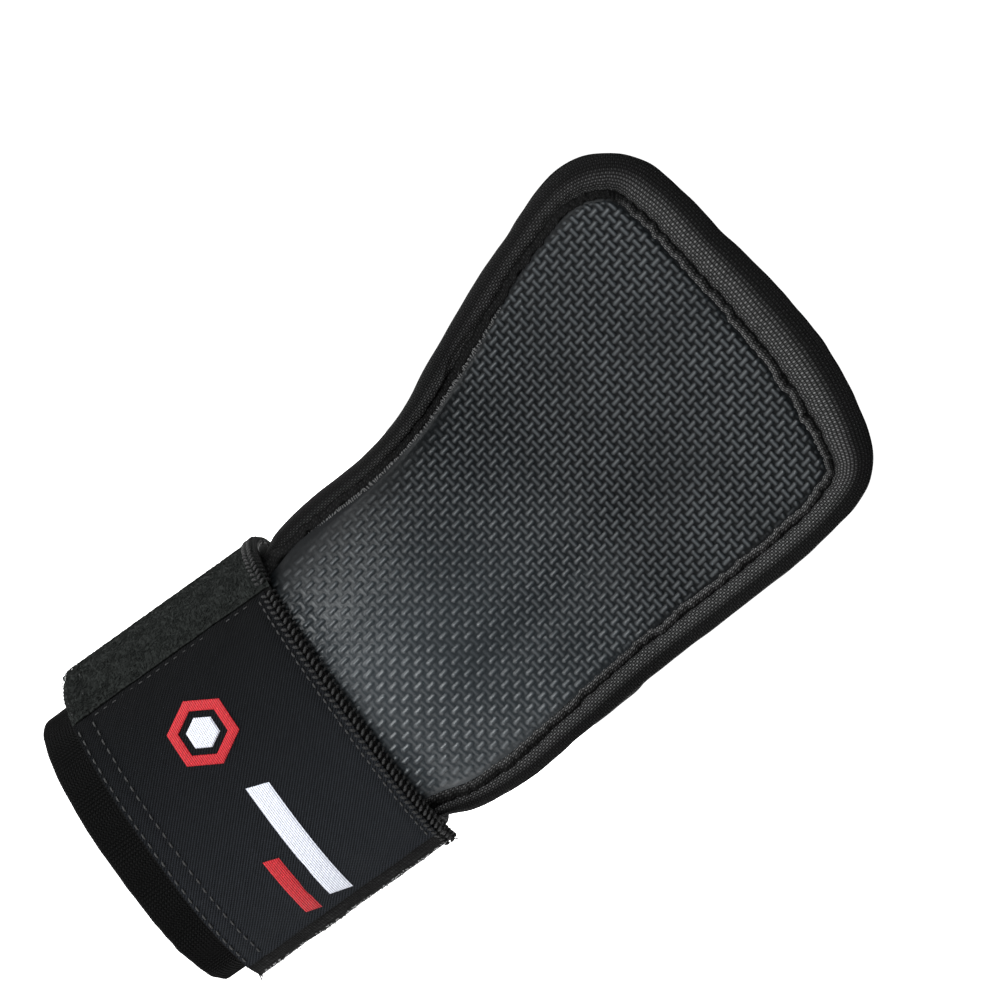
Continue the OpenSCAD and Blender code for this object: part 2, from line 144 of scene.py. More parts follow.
def section(angle, half_w, half_d, power, out):
    """Points of a superellipse at section angles in degrees, moved out by out: (x, y) arrays."""
    a = np.radians(angle)
    x = half_w * signed_power(np.cos(a), 2 / power)
    y = half_d * signed_power(np.sin(a), 2 / power)
    nx = signed_power(x / half_w, power - 1) / half_w
    ny = signed_power(y / half_d, power - 1) / half_d
    size = np.hypot(nx, ny)
    return x + out * nx / size, y + out * ny / size


def sleeve_at(angle, out):
    return section(angle, SLEEVE_W, SLEEVE_D, SLEEVE_POWER, out)


def strap_at(angle, out):
    depth = np.where(np.sin(np.radians(angle)) < 0, LANDING_FRONT, SLEEVE_D)
    return section(angle, LANDING_W, depth, STRAP_POWER, out)


def arc_length(points):
    """Arc length at each point of a polyline, or of many at once: [..., points, axes]."""
    steps = np.linalg.norm(np.diff(points, axis=-2), axis=-1)
    return np.concatenate([0 * steps[..., :1], np.cumsum(steps, axis=-1)], axis=-1)


def even_steps(length, spacing):
    return np.linspace(0, length, max(3, int(round(length / spacing)) + 1))


def at_run(where, run, points):
    """Points of a polyline at given arc lengths; run is the arc length at each of its points."""
    return join(*[np.interp(where, run, column) for column in points.T])


def arc_angles(t0, t1, spacing, out=0.0):
    """Section angles from t0 to t1 at an even spacing along the strap, and their arc lengths."""
    t = np.linspace(t0, t1, 2000)
    run = arc_length(join(*strap_at(t, out)))
    even = even_steps(run[-1], spacing)
    return np.interp(even, run, t), even


def resample(points, spacing):
    """Points along a polyline at an even spacing, and the arc length at each."""
    run = arc_length(points[:, :2])
    even = even_steps(run[-1], spacing)
    return at_run(even, run, points), even


def along_line(line, count):
    """count points at an even spacing along an (x, z) line."""
    run = arc_length(line)
    return at_run(np.linspace(0, run[-1], count), run, line)


def face_y(x, z):
    """Depth of the rubber's face, of the open palm above the strap and of the heel under it."""
    hollow_z = np.clip(z, PALM_LOW, TIP_Z)
    hollow = PALM_HOLLOW * np.sin(np.pi * (hollow_z - PALM_LOW) / HOLLOW_SPAN) ** 2
    middle = FACE_HEEL + hollow - TIP_LEAN * np.maximum(z - TIP_Z, 0)
    drop = 0.5 + 0.5 * np.cos(np.pi * np.clip((z - PALM_LOW) / DROP_SPAN, 0, 1))
    palm = middle + SIDE_DROP * (np.abs(x) / DROP_HALF_W) ** 2 * drop
    side = np.clip(np.abs(x) / HEEL_HALF_W, 0, 0.99)
    heel = FACE_HEEL * (1 - side ** STRAP_POWER) ** (1 / STRAP_POWER)
    return heel + (palm - heel) * smoothstep(z, *PALM_BLEND)


def on_face(grid, depth):
    """Points on the pad at a depth behind the rubber's face, from (x, z) ones."""
    x, z = grid[..., 0], grid[..., 1]
    return join(x, face_y(x, z) + depth, z)


def catmull(points, steps):
    """A smooth curve through the points, with steps to each span."""
    p = np.array(points, float)
    p = np.vstack([2 * p[0] - p[1], p, 2 * p[-1] - p[-2]])
    t = np.linspace(0, 1, steps, endpoint=False)[:, None]
    rows = [
        0.5 * (2 * b + (c - a) * t + (2 * a - 5 * b + 4 * c - d) * t * t
               + (3 * b - a - 3 * c + d) * t ** 3)
        for a, b, c, d in zip(p[:-3], p[1:-2], p[2:-1], p[3:])
    ]
    return np.vstack(rows + [p[-2:-1]])


def smooth_line(values, passes):
    for _ in range(passes):
        values[1:-1] = 0.25 * values[:-2] + 0.5 * values[1:-1] + 0.25 * values[2:]
    return values


def ends_above(line, level):
    """First and last index where a line's second column is above a level."""
    above = np.flatnonzero(line[:, 1] > level)
    return int(above[0]), int(above[-1])


OUTER, OUTER_RUN = resample(catmull(EDGE, 16), 0.4)
ALONG = np.gradient(OUTER[:, :2], axis=0)
OUT_NORMAL = unit(smooth_line(unit(join(ALONG[:, 1], -ALONG[:, 0])), 60))
RIGHT_SPLIT, LEFT_SPLIT = ends_above(OUTER, SPLIT_Z)
RIGHT_START, LEFT_END = ends_above(OUTER, ROLL_LOW)


NOISE_PEAK = 4.8        # waves seldom add up to more


def inset(share, extra=0.0):
    """The outline moved in by a share of the rim's width plus extra, as (x, z)."""
    line = OUTER[:, :2] - OUT_NORMAL * (share * OUTER[:, 2] + extra)[:, None]
    return smooth_line(line, 40)


def noise(p, size, seed):
    """Smooth repeatable noise in -1..1 at points p of any dimension: plane waves of about the
    given size, and as many of half the size and height."""
    random = np.random.default_rng(seed)
    total = np.zeros(p.shape[:-1])
    for height, finer in ((1.0, 1), (0.5, 2)):
        for _ in range(7):
            direction = random.normal(size=p.shape[-1])
            direction *= 2 * np.pi / (size * np.linalg.norm(direction)) * random.uniform(0.7, 1.4)
            total += height * np.sin(p @ (direction * finer) + random.uniform(0, 7))
    return total / NOISE_PEAK


# ---- meshes


def add_object(name, data):
    obj = bpy.data.objects.new(name, data)
    bpy.context.scene.collection.objects.link(obj)
    return obj


def make_piece(name, points, quads, material, fab, polygons=(), sharp=()):
    """A mesh object from points in millimetres. fab is each point's place on the cloth, for the
    materials: (along, across, extra) in millimetres. sharp is a list of vertex loops."""
    points = points.reshape(-1, 3)
    sizes = np.concatenate([np.full(len(quads), 4), [len(p) for p in polygons]]).astype(np.int32)
    loops = np.concatenate([quads.ravel(), *polygons]).astype(np.int32)
    starts = np.concatenate([[0], np.cumsum(sizes)[:-1]]).astype(np.int32)
    mesh = bpy.data.meshes.new(name)
    mesh.vertices.add(len(points))
    mesh.vertices.foreach_set("co", (points * MM).astype(np.float32).ravel())
    mesh.loops.add(len(loops))
    mesh.loops.foreach_set("vertex_index", loops)
    mesh.polygons.add(len(sizes))
    mesh.polygons.foreach_set("loop_start", starts)
    mesh.polygons.foreach_set("use_smooth", np.ones(len(sizes), bool))
    mesh.update(calc_edges=True)
    if volume(points, quads, polygons) < 0:
        mesh.flip_normals()
    layer = mesh.attributes.new("fab", "FLOAT_VECTOR", "POINT")
    layer.data.foreach_set("vector", fab.astype(np.float32).ravel())
    if len(sharp):
        mark_sharp(mesh, sharp)
    mesh.materials.append(material)
    return add_object(name, mesh)


def volume(points, quads, polygons):
    """Signed volume of a closed mesh; negative when its faces point inwards."""
    a, b, c, d = (points[quads[:, k]] for k in range(4))
    total = (a * np.cross(b, c)).sum() + (a * np.cross(c, d)).sum()
    for p in polygons:
        q = points[np.asarray(p)]
        total += (q[0] * np.cross(q[1:-1], q[2:])).sum()
    return total / 6


def mark_sharp(mesh, loops):
    """Marks the edges along closed loops of vertices as sharp."""
    pairs = np.concatenate([join(loop, np.roll(loop, -1)) for loop in loops])
    ends = np.zeros(len(mesh.edges) * 2, np.int32)
    mesh.edges.foreach_get("vertices", ends)
    code = np.array([len(mesh.vertices), 1])
    found = np.isin(np.sort(ends.reshape(-1, 2), axis=1) @ code, np.sort(pairs, axis=1) @ code)
    layer = mesh.attributes.get("sharp_edge") or mesh.attributes.new("sharp_edge", "BOOLEAN", "EDGE")
    layer.data.foreach_set("value", found)


def grid_quads(rows, cols, start=0, wrap=False, wrap_rows=False):
    """Faces between the points of a grid, whose columns or rows may close on themselves."""
    r = np.arange(rows if wrap_rows else rows - 1)[:, None]
    c = np.arange(cols if wrap else cols - 1)[None, :]
    n, up = (c + 1) % cols, (r + 1) % rows
    quads = join(r * cols + c, r * cols + n, up * cols + n, up * cols + c)
    return quads.reshape(-1, 4) + start


def border(rows, cols, start=0):
    """Vertex ids round a grid's edge, in order."""
    ids = np.arange(rows * cols).reshape(rows, cols) + start
    return np.concatenate([ids[0, :-1], ids[:-1, -1], ids[-1, :0:-1], ids[:0:-1, 0]])


def slab(name, front, back, material, fab, step=1):
    """A closed sheet with a front grid and a back grid of every step-th point, [rows, cols, 3]."""
    rows, cols = front.shape[:2]
    behind = back[::step, ::step]
    small_rows, small_cols = behind.shape[:2]
    offset = rows * cols
    points = np.vstack([front.reshape(-1, 3), behind.reshape(-1, 3)])
    quads = np.vstack([
        grid_quads(rows, cols),
        grid_quads(small_rows, small_cols, offset)[:, ::-1],
    ])
    fine = border(rows, cols)
    coarse = border(small_rows, small_cols, offset)
    walls = []
    for k in range(len(coarse)):
        run = np.take(fine, range(k * step, k * step + step + 1), mode="wrap")
        walls.append([*run[::-1], coarse[k], coarse[(k + 1) % len(coarse)]])
    places = np.vstack([fab.reshape(-1, 3), fab[::step, ::step].reshape(-1, 3)])
    return make_piece(name, points, quads, material, places, walls, [fine, coarse])


def ring_angles(sides):
    return np.arange(sides) / sides * 2 * np.pi


def tube(name, rings, material, fab, groups):
    """Capped tubes from rings of points [rings, sides, 3]. groups are (start, end) ring ranges,
    one for each separate tube."""
    sides = rings.shape[1]
    quads, caps = [], []
    for start, end in groups:
        quads.append(grid_quads(end - start, sides, start * sides, wrap=True))
        caps.append(np.arange(sides)[::-1] + start * sides)
        caps.append(np.arange(sides) + (end - 1) * sides)
    return make_piece(name, rings, np.vstack(quads), material, fab, caps, caps)


def threads(name, paths, radius, material, sides=6, flat=0.75):
    """Many short threads in one mesh. paths is [threads, points, 3]; their ends taper."""
    paths = np.asarray(paths, float)
    count, length = paths.shape[:2]
    along = unit(np.gradient(paths, axis=1))
    chord = np.abs(paths[:, -1] - paths[:, 0])
    steep = chord[:, 1] > 0.8 * np.linalg.norm(chord, axis=1)
    up = np.where(steep[:, None, None], [1.0, 0.0, 0.0], [0.0, 1.0, 0.0])
    side = unit(np.cross(along, np.broadcast_to(up, along.shape)))
    lift = np.cross(side, along)
    s = np.linspace(-1, 1, length)
    r = radius * np.sqrt(np.clip(1.04 - np.abs(s) ** 4, 0.04, 1))[None, :, None, None]
    a = ring_angles(sides)
    ring = (side[:, :, None, :] * np.cos(a)[None, None, :, None]
            + flat * lift[:, :, None, :] * np.sin(a)[None, None, :, None])
    rings = (paths[:, :, None, :] + r * ring).reshape(count * length, sides, 3)
    fab = join(arc_length(paths).reshape(-1, 1), a * radius, 0)
    groups = [(k * length, (k + 1) * length) for k in range(count)]
    return tube(name, rings, material, fab, groups)


def straight(a, b, count):
    return a + (b - a) * np.linspace(0, 1, count)[:, None]


def coons(left, right, low, high):
    """Grid of (x, z) inside four edges: left and right run up, low and high run left to right."""
    u = np.linspace(0, 1, len(low))[None, :, None]
    v = np.linspace(0, 1, len(left))[:, None, None]
    edges = ((1 - u) * left[:, None] + u * right[:, None]
             + (1 - v) * low[None, :] + v * high[None, :])
    corners = ((1 - u) * (1 - v) * low[0] + u * (1 - v) * low[-1]
               + (1 - u) * v * high[0] + u * v * high[-1])
    return edges - corners


TURN_RIGHT, TURN_LEFT = 0.72, 0.55      # z of the outward normal at the finger end's two corners


def pad_grid(part, line, cols, rows, heel_rows=0):
    """Grid of (x, z) over the pad inside an inset outline: part "low" runs from the heel to
    the split line, "high" from there to the finger end."""
    a, b = line[RIGHT_SPLIT].copy(), line[LEFT_SPLIT].copy()
    a[1] = b[1] = SPLIT_Z
    if part == "low":
        start, end = ends_above(line, HEEL_LOW)
        right = np.vstack([line[start:RIGHT_SPLIT], a])
        left = np.vstack([b, line[LEFT_SPLIT + 1:end + 1]])[::-1]
        z = np.concatenate([np.linspace(HEEL_LOW, ROLL_LOW, heel_rows, endpoint=False),
                            np.linspace(ROLL_LOW, SPLIT_Z, rows)])
        left, right = (join(np.interp(z, edge[:, 1], edge[:, 0]), z) for edge in (left, right))
        u = np.linspace(0, 1, cols)[None, :, None]
        return left[:, None] * (1 - u) + right[:, None] * u
    turn = OUT_NORMAL[RIGHT_SPLIT:LEFT_SPLIT]
    corner_right = RIGHT_SPLIT + ends_above(turn, TURN_RIGHT)[0]
    corner_left = RIGHT_SPLIT + ends_above(turn, TURN_LEFT)[1]
    right = along_line(np.vstack([a, line[RIGHT_SPLIT + 1:corner_right + 1]]), rows)
    high = along_line(line[corner_right:corner_left + 1][::-1], cols)
    left = along_line(np.vstack([line[corner_left:LEFT_SPLIT], b])[::-1], rows)
    return coons(left, right, straight(b, a, cols), high)


# ---- materials


class Shader:
    """A Principled material whose detail follows the "fab" attribute: u along, v across, in mm."""

    def __init__(self, name, roughness, specular):
        self.material = bpy.data.materials.new(name)
        self.material.use_nodes = True
        self.tree = self.material.node_tree
        self.bsdf = self.tree.nodes["Principled BSDF"]
        self.feed("Roughness", roughness)
        self.feed("Specular IOR Level", specular)
        cloth = self.node("Attribute")
        cloth.attribute_name = "fab"
        self.fab = cloth.outputs["Vector"]
        split = self.node("SeparateXYZ", self.fab)
        self.u, self.v, self.w = split.outputs

    def feed(self, socket, value):
        """Sets an input to a number or links it to another node's output. A name is one of the
        Principled node's inputs."""
        if isinstance(socket, str):
            socket = self.bsdf.inputs[socket]
        if isinstance(value, (int, float)):
            socket.default_value = value
        else:
            self.tree.links.new(value, socket)

    def node(self, kind, *values):
        """A new node with values for its first inputs."""
        node = self.tree.nodes.new("ShaderNode" + kind)
        for socket, value in zip(node.inputs, values):
            self.feed(socket, value)
        return node

    def math(self, operation, *values):
        node = self.node("Math", *values)
        node.operation = operation
        return node.outputs[0]

    def times(self, a, b):
        return self.math("MULTIPLY", a, b)

    def line(self, value, slope, start):
        """value times slope, plus start."""
        return self.math("MULTIPLY_ADD", value, slope, start)

    def clamp(self, value, low, high):
        return self.math("MAXIMUM", self.math("MINIMUM", value, high), low)

    def wave(self, value, period):
        """A sine of the given period, in -1..1."""
        return self.math("SINE", self.line(value, 2 * math.pi / period, 0.0))

    def arch(self, value, width):
        """Round thread tops in 0..1, one every width."""
        return self.math("POWER", self.math("ABSOLUTE", self.wave(value, 2 * width)), 0.7)

    def noise(self, scale, detail, stretch=None):
        """Noise in 0..1 with about scale cells to the millimetre."""
        vector = self.fab
        if stretch is not None:
            mapping = self.node("Mapping", self.fab)
            mapping.inputs["Scale"].default_value = stretch
            vector = mapping.outputs[0]
        node = self.node("TexNoise", vector)
        node.inputs["Scale"].default_value = scale
        node.inputs["Detail"].default_value = detail
        return node.outputs["Fac"]

    def plain_weave(self, along, across):
        """Threads that go over and under each other, with the given pitches."""
        checker = self.times(self.wave(self.u, 2 * along), self.wave(self.v, 2 * across))
        over = self.math("SMOOTH_MIN", self.line(checker, 3.0, 0.5), 1.0, 0.2)
        warp_top, weft_top = self.arch(self.v, across), self.arch(self.u, along)
        warp = self.times(warp_top, self.line(weft_top, 0.45, 0.55))
        weft = self.times(weft_top, self.line(warp_top, 0.2, 0.4))
        blend = self.node("Mix", self.math("MAXIMUM", over, 0.0))
        self.feed(blend.inputs[2], weft)
        self.feed(blend.inputs[3], warp)
        return blend.outputs[0]

    def color(self, factor, dark, light, tint=(1.0, 1.0, 1.0)):
        """Links a colour between dark and light, by factor, to the shader."""
        node = self.node("Mix", factor)
        node.data_type = "RGBA"
        node.inputs[6].default_value = (*np.multiply(dark, tint), 1)
        node.inputs[7].default_value = (*np.multiply(light, tint), 1)
        self.feed("Base Color", node.outputs[2])

    def rough(self, factor, low, high):
        self.feed("Roughness", self.line(factor, high - low, low))

    def bump(self, height, depth):
        """Raises the surface by height, in 0..1, times depth in millimetres."""
        node = self.node("Bump")
        node.inputs["Distance"].default_value = depth * MM
        self.feed(node.inputs["Height"], height)
        self.feed("Normal", node.outputs[0])
        return self.material


SLATE = (0.83, 1.0, 1.13)
NAVY = (0.82, 0.93, 1.12)
GREENISH = (0.94, 1.04, 0.98)


def rubber_material():
    """Satin moulded rubber: a fine grain, and paler, shinier tops (w is the emboss height): wear on
    the tops, and painted shade in the dark grooves. Near the heel, away from the thumb side, it is
    painted palest, a painted highlight."""
    s = Shader("grip_rubber", 0.5, 0.3)
    grain = s.noise(2.6, 4.0)
    cloud = s.noise(0.05, 3.0)
    # painted highlight: paler and shinier low on the pad and away from the thumb side
    heel_highlight_height = s.math("MAXIMUM", s.line(s.v, -0.013, 1.3), 0.0)
    heel = s.times(heel_highlight_height, s.clamp(s.line(s.u, 0.045, 1.45), 0.05, 1.2))
    # tops paler from wear; the dark grooves between them are partly painted shade
    worn = s.times(s.w, s.line(cloud, 0.9, 0.4))
    s.color(s.line(heel, 0.6, s.times(worn, 0.6)), 0.0025, 0.039, SLATE)
    s.feed("Specular IOR Level", s.line(heel, 0.25, s.line(worn, 0.34, 0.05)))
    s.rough(s.line(grain, 0.6, s.times(cloud, 0.4)), 0.28, 0.5)
    return s.bump(grain, 0.05)


def woven_material(name, along, across, dark, light, depth=0.22, lit_weave=False):
    """Plain woven cloth with paler thread tops and uneven yarn. With the flag set, the gaps are wider
    and darker, and the thread colour is scaled by w: a painted highlight on the rim's lit side and
    flank."""
    s = Shader(name, 0.8, 0.07)
    weave = s.plain_weave(along, across)
    yarn = s.noise(0.9, 3.0)
    tops = s.math("POWER", weave, STRETCHED_GAPS if lit_weave else 1.0)
    uneven = s.times(tops, s.line(yarn, 1.1, 0.35))
    if lit_weave:
        # painted highlight: thread colour scaled by w, high on the rim's lit side and flank
        uneven = s.times(uneven, s.line(s.w, 1.0, 0.08))
    s.color(uneven, dark, light)
    s.rough(yarn, 0.6, 0.95)
    return s.bump(s.line(yarn, 0.25, weave), depth)


def twill_material():
    """The label: fine diagonal twill lines broken by the warp threads, painted paler towards the hem
    as painted light.
    """
    s = Shader("label_twill", 0.75, 0.06)
    ribs = s.arch(s.math("ADD", s.u, s.v), 0.78)
    warp = s.arch(s.math("SUBTRACT", s.u, s.v), 0.6)
    weave = s.times(ribs, s.line(warp, 0.55, 0.45))
    yarn = s.noise(1.3, 3.0)
    # painted light: paler along the label towards the hem
    lit_towards_hem = s.times(weave, s.line(s.u, 0.021, 0.15))
    s.color(s.times(lit_towards_hem, s.math("ADD", yarn, 0.4)), 0.0004, 0.016, NAVY)
    s.rough(yarn, 0.55, 0.85)
    return s.bump(weave, 0.16)


def knit_material(name, dark, light, rib, depth):
    """Ribbed knit: each rib is a column of V-shaped stitches."""
    s = Shader(name, 0.85, 0.04)
    slant = s.times(s.math("ABSOLUTE", s.wave(s.u, 2 * rib)), 0.5)
    loops = s.arch(s.math("ADD", s.v, slant), 0.7)
    height = s.times(loops, s.line(s.arch(s.u, rib), 0.6, 0.4))
    yarn = s.noise(1.1, 3.0)
    s.color(s.times(height, s.math("ADD", yarn, 0.4)), dark, light)
    s.rough(yarn, 0.65, 0.95)
    return s.bump(height, depth)


def felt_material(name, dark, light, depth=0.25, tint=(1.0, 1.0, 1.0)):
    """Brushed plush: matted fibres at two sizes."""
    s = Shader(name, 0.95, 0.05)
    matted = s.noise(1.6, 6.0)
    strands = s.noise(1.2, 4.0, stretch=(0.5, 2.5, 1.0))
    fibres = s.line(strands, 0.5, s.times(matted, 0.5))
    s.color(s.clamp(s.line(fibres, 3.2, -1.1), 0.0, 1.0), dark, light, tint)
    return s.bump(fibres, depth)


def thread_material(name, dark, light):
    """Twisted sewing thread."""
    s = Shader(name, 0.6, 0.15)
    ply = s.arch(s.line(s.v, 0.6, s.u), 0.55)
    fuzz = s.noise(3.0, 2.0)
    s.color(s.times(ply, s.math("ADD", fuzz, 0.4)), dark, light)
    return s.bump(ply, 0.06)


def yarn_material(name, dark, light):
    """Filling yarns of a woven mark: close rows across it with small gaps between them."""
    s = Shader(name, 0.55, 0.3)
    rows = s.arch(s.v, 0.42)
    floats = s.arch(s.line(s.v, 0.7, s.u), 1.3)
    fuzz = s.noise(2.2, 3.0)
    weave = s.times(rows, s.line(floats, 0.35, 0.65))
    s.color(s.line(fuzz, 0.3, s.times(weave, 0.85)), dark, light)
    return s.bump(weave, 0.14)


def foam_material():
    """Open-cell foam: round pores with thin walls."""
    s = Shader("foam", 0.95, 0.1)
    cells = s.node("TexVoronoi", s.fab)
    cells.inputs["Scale"].default_value = 1.8
    pores = s.times(cells.outputs["Distance"], 1.3)
    s.color(pores, 0.03, 0.09)
    return s.bump(pores, 0.25)


def nylon_material(name, dark, light):
    """Smooth nylon monofilament, as on hook tape."""
    s = Shader(name, 0.42, 0.2)
    s.color(s.noise(1.5, 2.0), dark, light)
    return s.bump(s.noise(3.5, 1.0), 0.03)


STRETCHED_GAPS = 2.2
GRIP_RUBBER = rubber_material()
RIM_FABRIC = woven_material("rim_fabric", 0.52, 0.62, 0.0005, 0.115, 0.35, lit_weave=True)
RIDGE_FABRIC = woven_material("ridge_fabric", 0.5, 0.55, 0.0004, 0.15, 0.22, lit_weave=True)
WEBBING = woven_material("webbing", 0.55, 0.4, 0.0004, 0.0035, depth=0.12)
LINING = knit_material("lining_fabric", 0.004, 0.045, rib=0.8, depth=0.3)
SEAM_TAPE = woven_material("seam_tape", 0.5, 1.1, 0.004, 0.018)
RIBBED = knit_material("ribbed_elastic", 0.0004, 0.006, rib=0.85, depth=0.35)
LABEL_TWILL = twill_material()
LOOP_PLUSH = felt_material("loop_plush", 0.003, 0.02)
STRAP_PLUSH = felt_material("strap_plush", 0.001, 0.022, 0.5, GREENISH)
HOOK_TAPE = nylon_material("hook_tape", 0.004, 0.014)
OVERLOCK = thread_material("overlock_thread", 0.003, 0.022)
THREAD = thread_material("thread", 0.008, 0.045)
PALE_FIBRE = thread_material("pale_fibre", 0.18, 0.6)
SELVEDGE = thread_material("selvedge", 0.01, 0.11)
RED_YARN = yarn_material("red_yarn", (0.12, 0.003, 0.005), (0.46, 0.012, 0.02))
WHITE_YARN = yarn_material("white_yarn", (0.28, 0.29, 0.34), (0.64, 0.66, 0.73))
FOAM = foam_material()

# ---- joints between bodies, as given to place() for pieces that span them

HEEL_FOLD = ("cuff", "palm_pad", (0, 0, 0.033), (0, 0, 0.046))
TIP_CURL = ("palm_pad", "finger_pad", (0, 0, 0.103), (0, 0, 0.121))
BAND_SWING = ("cuff", "band", (-0.014, 0.026, 0), (-0.030, 0.020, 0))
TAB_PEEL = ("band", "tab", (-0.033, -0.0235, 0), (-0.0205, -0.031, 0))


def place(piece, where, slot, *nodes):
    """Puts a finished piece on a body; one given a joint is left where it is, on no body. Hides the
    CAD nodes it stands for.
    """
    if isinstance(where, str):
        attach(piece, where)
    else:
        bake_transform(piece)
    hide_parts(*nodes)


# ---- soft shapes by cloth simulation

SIM_SCALE = 40      # the solver is made for metre-sized cloth, so pieces are simulated enlarged
SIM_FRAMES = 20


def inflate(grid, held, wrap, pressure, spare, cap):
    """A grid of points in millimetres after the cloth has been blown up, with the held ones in
    place. spare is the share of extra cloth, and cap the furthest that a point may move."""
    points = grid.reshape(-1, 3)
    quads = grid_quads(*held.shape, wrap=wrap)[:, ::-1]
    mesh = bpy.data.meshes.new("simulated")
    mesh.from_pydata((points * MM * SIM_SCALE).tolist(), [], quads.tolist())
    obj = add_object("simulated", mesh)
    group = obj.vertex_groups.new(name="held")
    group.add(np.flatnonzero(held).tolist(), 1.0, "REPLACE")
    cloth = obj.modifiers.new("cloth", "CLOTH")
    settings = cloth.settings
    settings.vertex_group_mass = "held"
    settings.use_pressure = True
    settings.uniform_pressure_force = pressure
    settings.shrink_min = -spare
    settings.tension_stiffness = 30
    settings.compression_stiffness = 30
    settings.bending_stiffness = 0.2
    settings.effector_weights.gravity = 0
    cloth.point_cache.frame_start, cloth.point_cache.frame_end = 1, SIM_FRAMES
    scene = bpy.context.scene
    for step in range(1, SIM_FRAMES + 1):
        scene.frame_set(step)
    shaped = obj.evaluated_get(bpy.context.evaluated_depsgraph_get())
    moved = np.zeros(len(points) * 3, np.float32)
    shaped.data.vertices.foreach_get("co", moved)
    scene.frame_set(1)
    bpy.data.objects.remove(obj)
    bpy.data.meshes.remove(mesh)
    shift = moved.reshape(-1, 3).astype(float) / (MM * SIM_SCALE) - points
    size = np.linalg.norm(shift, axis=1, keepdims=True)
    return (points + shift * np.minimum(1, cap / np.maximum(size, 1e-9))).reshape(grid.shape)


def midpoints(rows):
    """Rows doubled with smooth midpoints between them, along the first axis."""
    ends = np.concatenate([2 * rows[:1] - rows[1:2], rows, 2 * rows[-1:] - rows[-2:-1]])
    middle = (9 * (ends[1:-2] + ends[2:-1]) - (ends[:-3] + ends[3:])) / 16
    out = np.empty((2 * len(rows) - 1, *rows.shape[1:]))
    out[0::2], out[1::2] = rows, middle
    return out


def midpoints_around(rings):
    """The same along the second axis, which closes on itself."""
    ahead, behind = np.roll(rings, -1, 1), np.roll(rings, 1, 1)
    middle = (9 * (rings + ahead) - (behind + np.roll(rings, -2, 1))) / 16
    return np.stack([rings, middle], 2).reshape(rings.shape[0], -1, rings.shape[2])


# ---- the pad: rubber face, foam, lining

STRAND, STRAND_R, STRAND_HALF, STRAND_RISE = 1.8, 0.48, 0.72, 0.42
STRAND_WAYS = np.array([[-0.165, 0.986], [0.986, 0.165]])
NEIGHBOURS = ((0, 0), (1, 0), (-1, 0), (0, 1), (0, -1))
CREASES = (
    ((2, 112), (11, 55), 5.0, 0.9),
    ((-46, 92), (-20, 128), 7.0, 0.45),
    ((24, 96), (-30, 62), 9.0, 0.4),
)       # from, to, width, depth
RUBBER_EDGE = inset(1)
RIM_CENTRE = inset(0.5, -0.8)


def emboss(x, z):
    """Height 0..1 of the moulded basket pattern: short strands that pass over and under. The
    strands of the second direction are worn low near the heel."""
    p, q = ((x * way[0] + z * way[1]) / STRAND for way in STRAND_WAYS)
    height = np.zeros_like(x)
    for di, dj in NEIGHBOURS:
        i, j = np.round(p) + di, np.round(q) + dj
        dp, dq = (p - i) * STRAND, (q - j) * STRAND
        first = (i + j) % 2 == 0
        along, across = np.where(first, dp, dq), np.where(first, dq, dp)
        reach = np.hypot(np.maximum(np.abs(along) - STRAND_HALF, 0), across) / STRAND_R
        worn = np.where(first, 1.0, 0.35 + 0.65 * smoothstep(z, 45, 100))
        height = np.maximum(height, worn * (1 - np.minimum(reach, 1) ** 2))
    return height


def distance_to(line, x, z, block=4096):
    """Distance of each point to a polyline's points, in small blocks to save memory."""
    flat = join(x.ravel(), z.ravel())
    near = [((flat[k:k + block, None] - line[None]) ** 2).sum(-1).min(1)
            for k in range(0, len(flat), block)]
    return np.sqrt(np.concatenate(near)).reshape(x.shape)


def crease(x, z, start, end, width, depth):
    """A soft valley along the line from start to end, fading at its ends."""
    a, b = np.array(start, float), np.array(end, float)
    along = b - a
    t = ((x - a[0]) * along[0] + (z - a[1]) * along[1]) / (along @ along)
    off = ((x - a[0]) * along[1] - (z - a[1]) * along[0]) / np.linalg.norm(along)
    return depth * smoothstep(t, -0.25, 0.3) * (1 - smoothstep(t, 0.7, 1.25)) * bell(off, 0, width)


def soft_relief(x, z):
    """Slow unevenness of the palm where the sheet has been bent in use."""
    return sum(crease(x, z, *fold) for fold in CREASES) + 0.18 * noise(join(x, z), 26, 3)


def thumb_side(x, z, low, high):
    """1 along the pad's thumb side, fading in over the heights low and out over the heights high."""
    return smoothstep(-x, 4, 14) * smoothstep(z, *low) * (1 - smoothstep(z, *high))


HEEL_CORNER = np.array([-37, 33])       # (x, z) where the strap's edge presses the pattern flat
SEWN_DIP = 0.35


def rubber_face(part, where, *nodes):
    """The embossed sheet. The pattern is pressed flat at its sewn edge, in a wider strip on the
    thumb side, and under the strap."""
    rows = {"low": (185, 28), "high": (273, 0)}[part]
    grid = pad_grid(part, RUBBER_EDGE, 301, *rows)
    x, z = grid[..., 0], grid[..., 1]
    edge = distance_to(RUBBER_EDGE[::2], x, z)
    fade = smoothstep(edge, 0.3, 1.4 + 7 * thumb_side(x, z, (30, 48), (68, 108)))
    corner = np.linalg.norm(grid - HEEL_CORNER, axis=-1)
    fade = fade * (0.25 + 0.75 * smoothstep(corner, 5, 19))
    fade = fade * smoothstep(z, ROLL_LOW, ROLL_LOW + 3)
    height = emboss(x, z) * fade * (0.92 + 0.16 * noise(join(x, z), 18, 11))
    sewn = SEWN_DIP * (1 - smoothstep(edge, 0, 1.5))
    front = on_face(grid, soft_relief(x, z) + sewn - STRAND_RISE * height)
    piece = slab("rubber_face_" + part, front, on_face(grid, RUBBER_T), GRIP_RUBBER,
                 join(x, z, height), step=4)
    place(piece, where, "grip_rubber", *nodes)


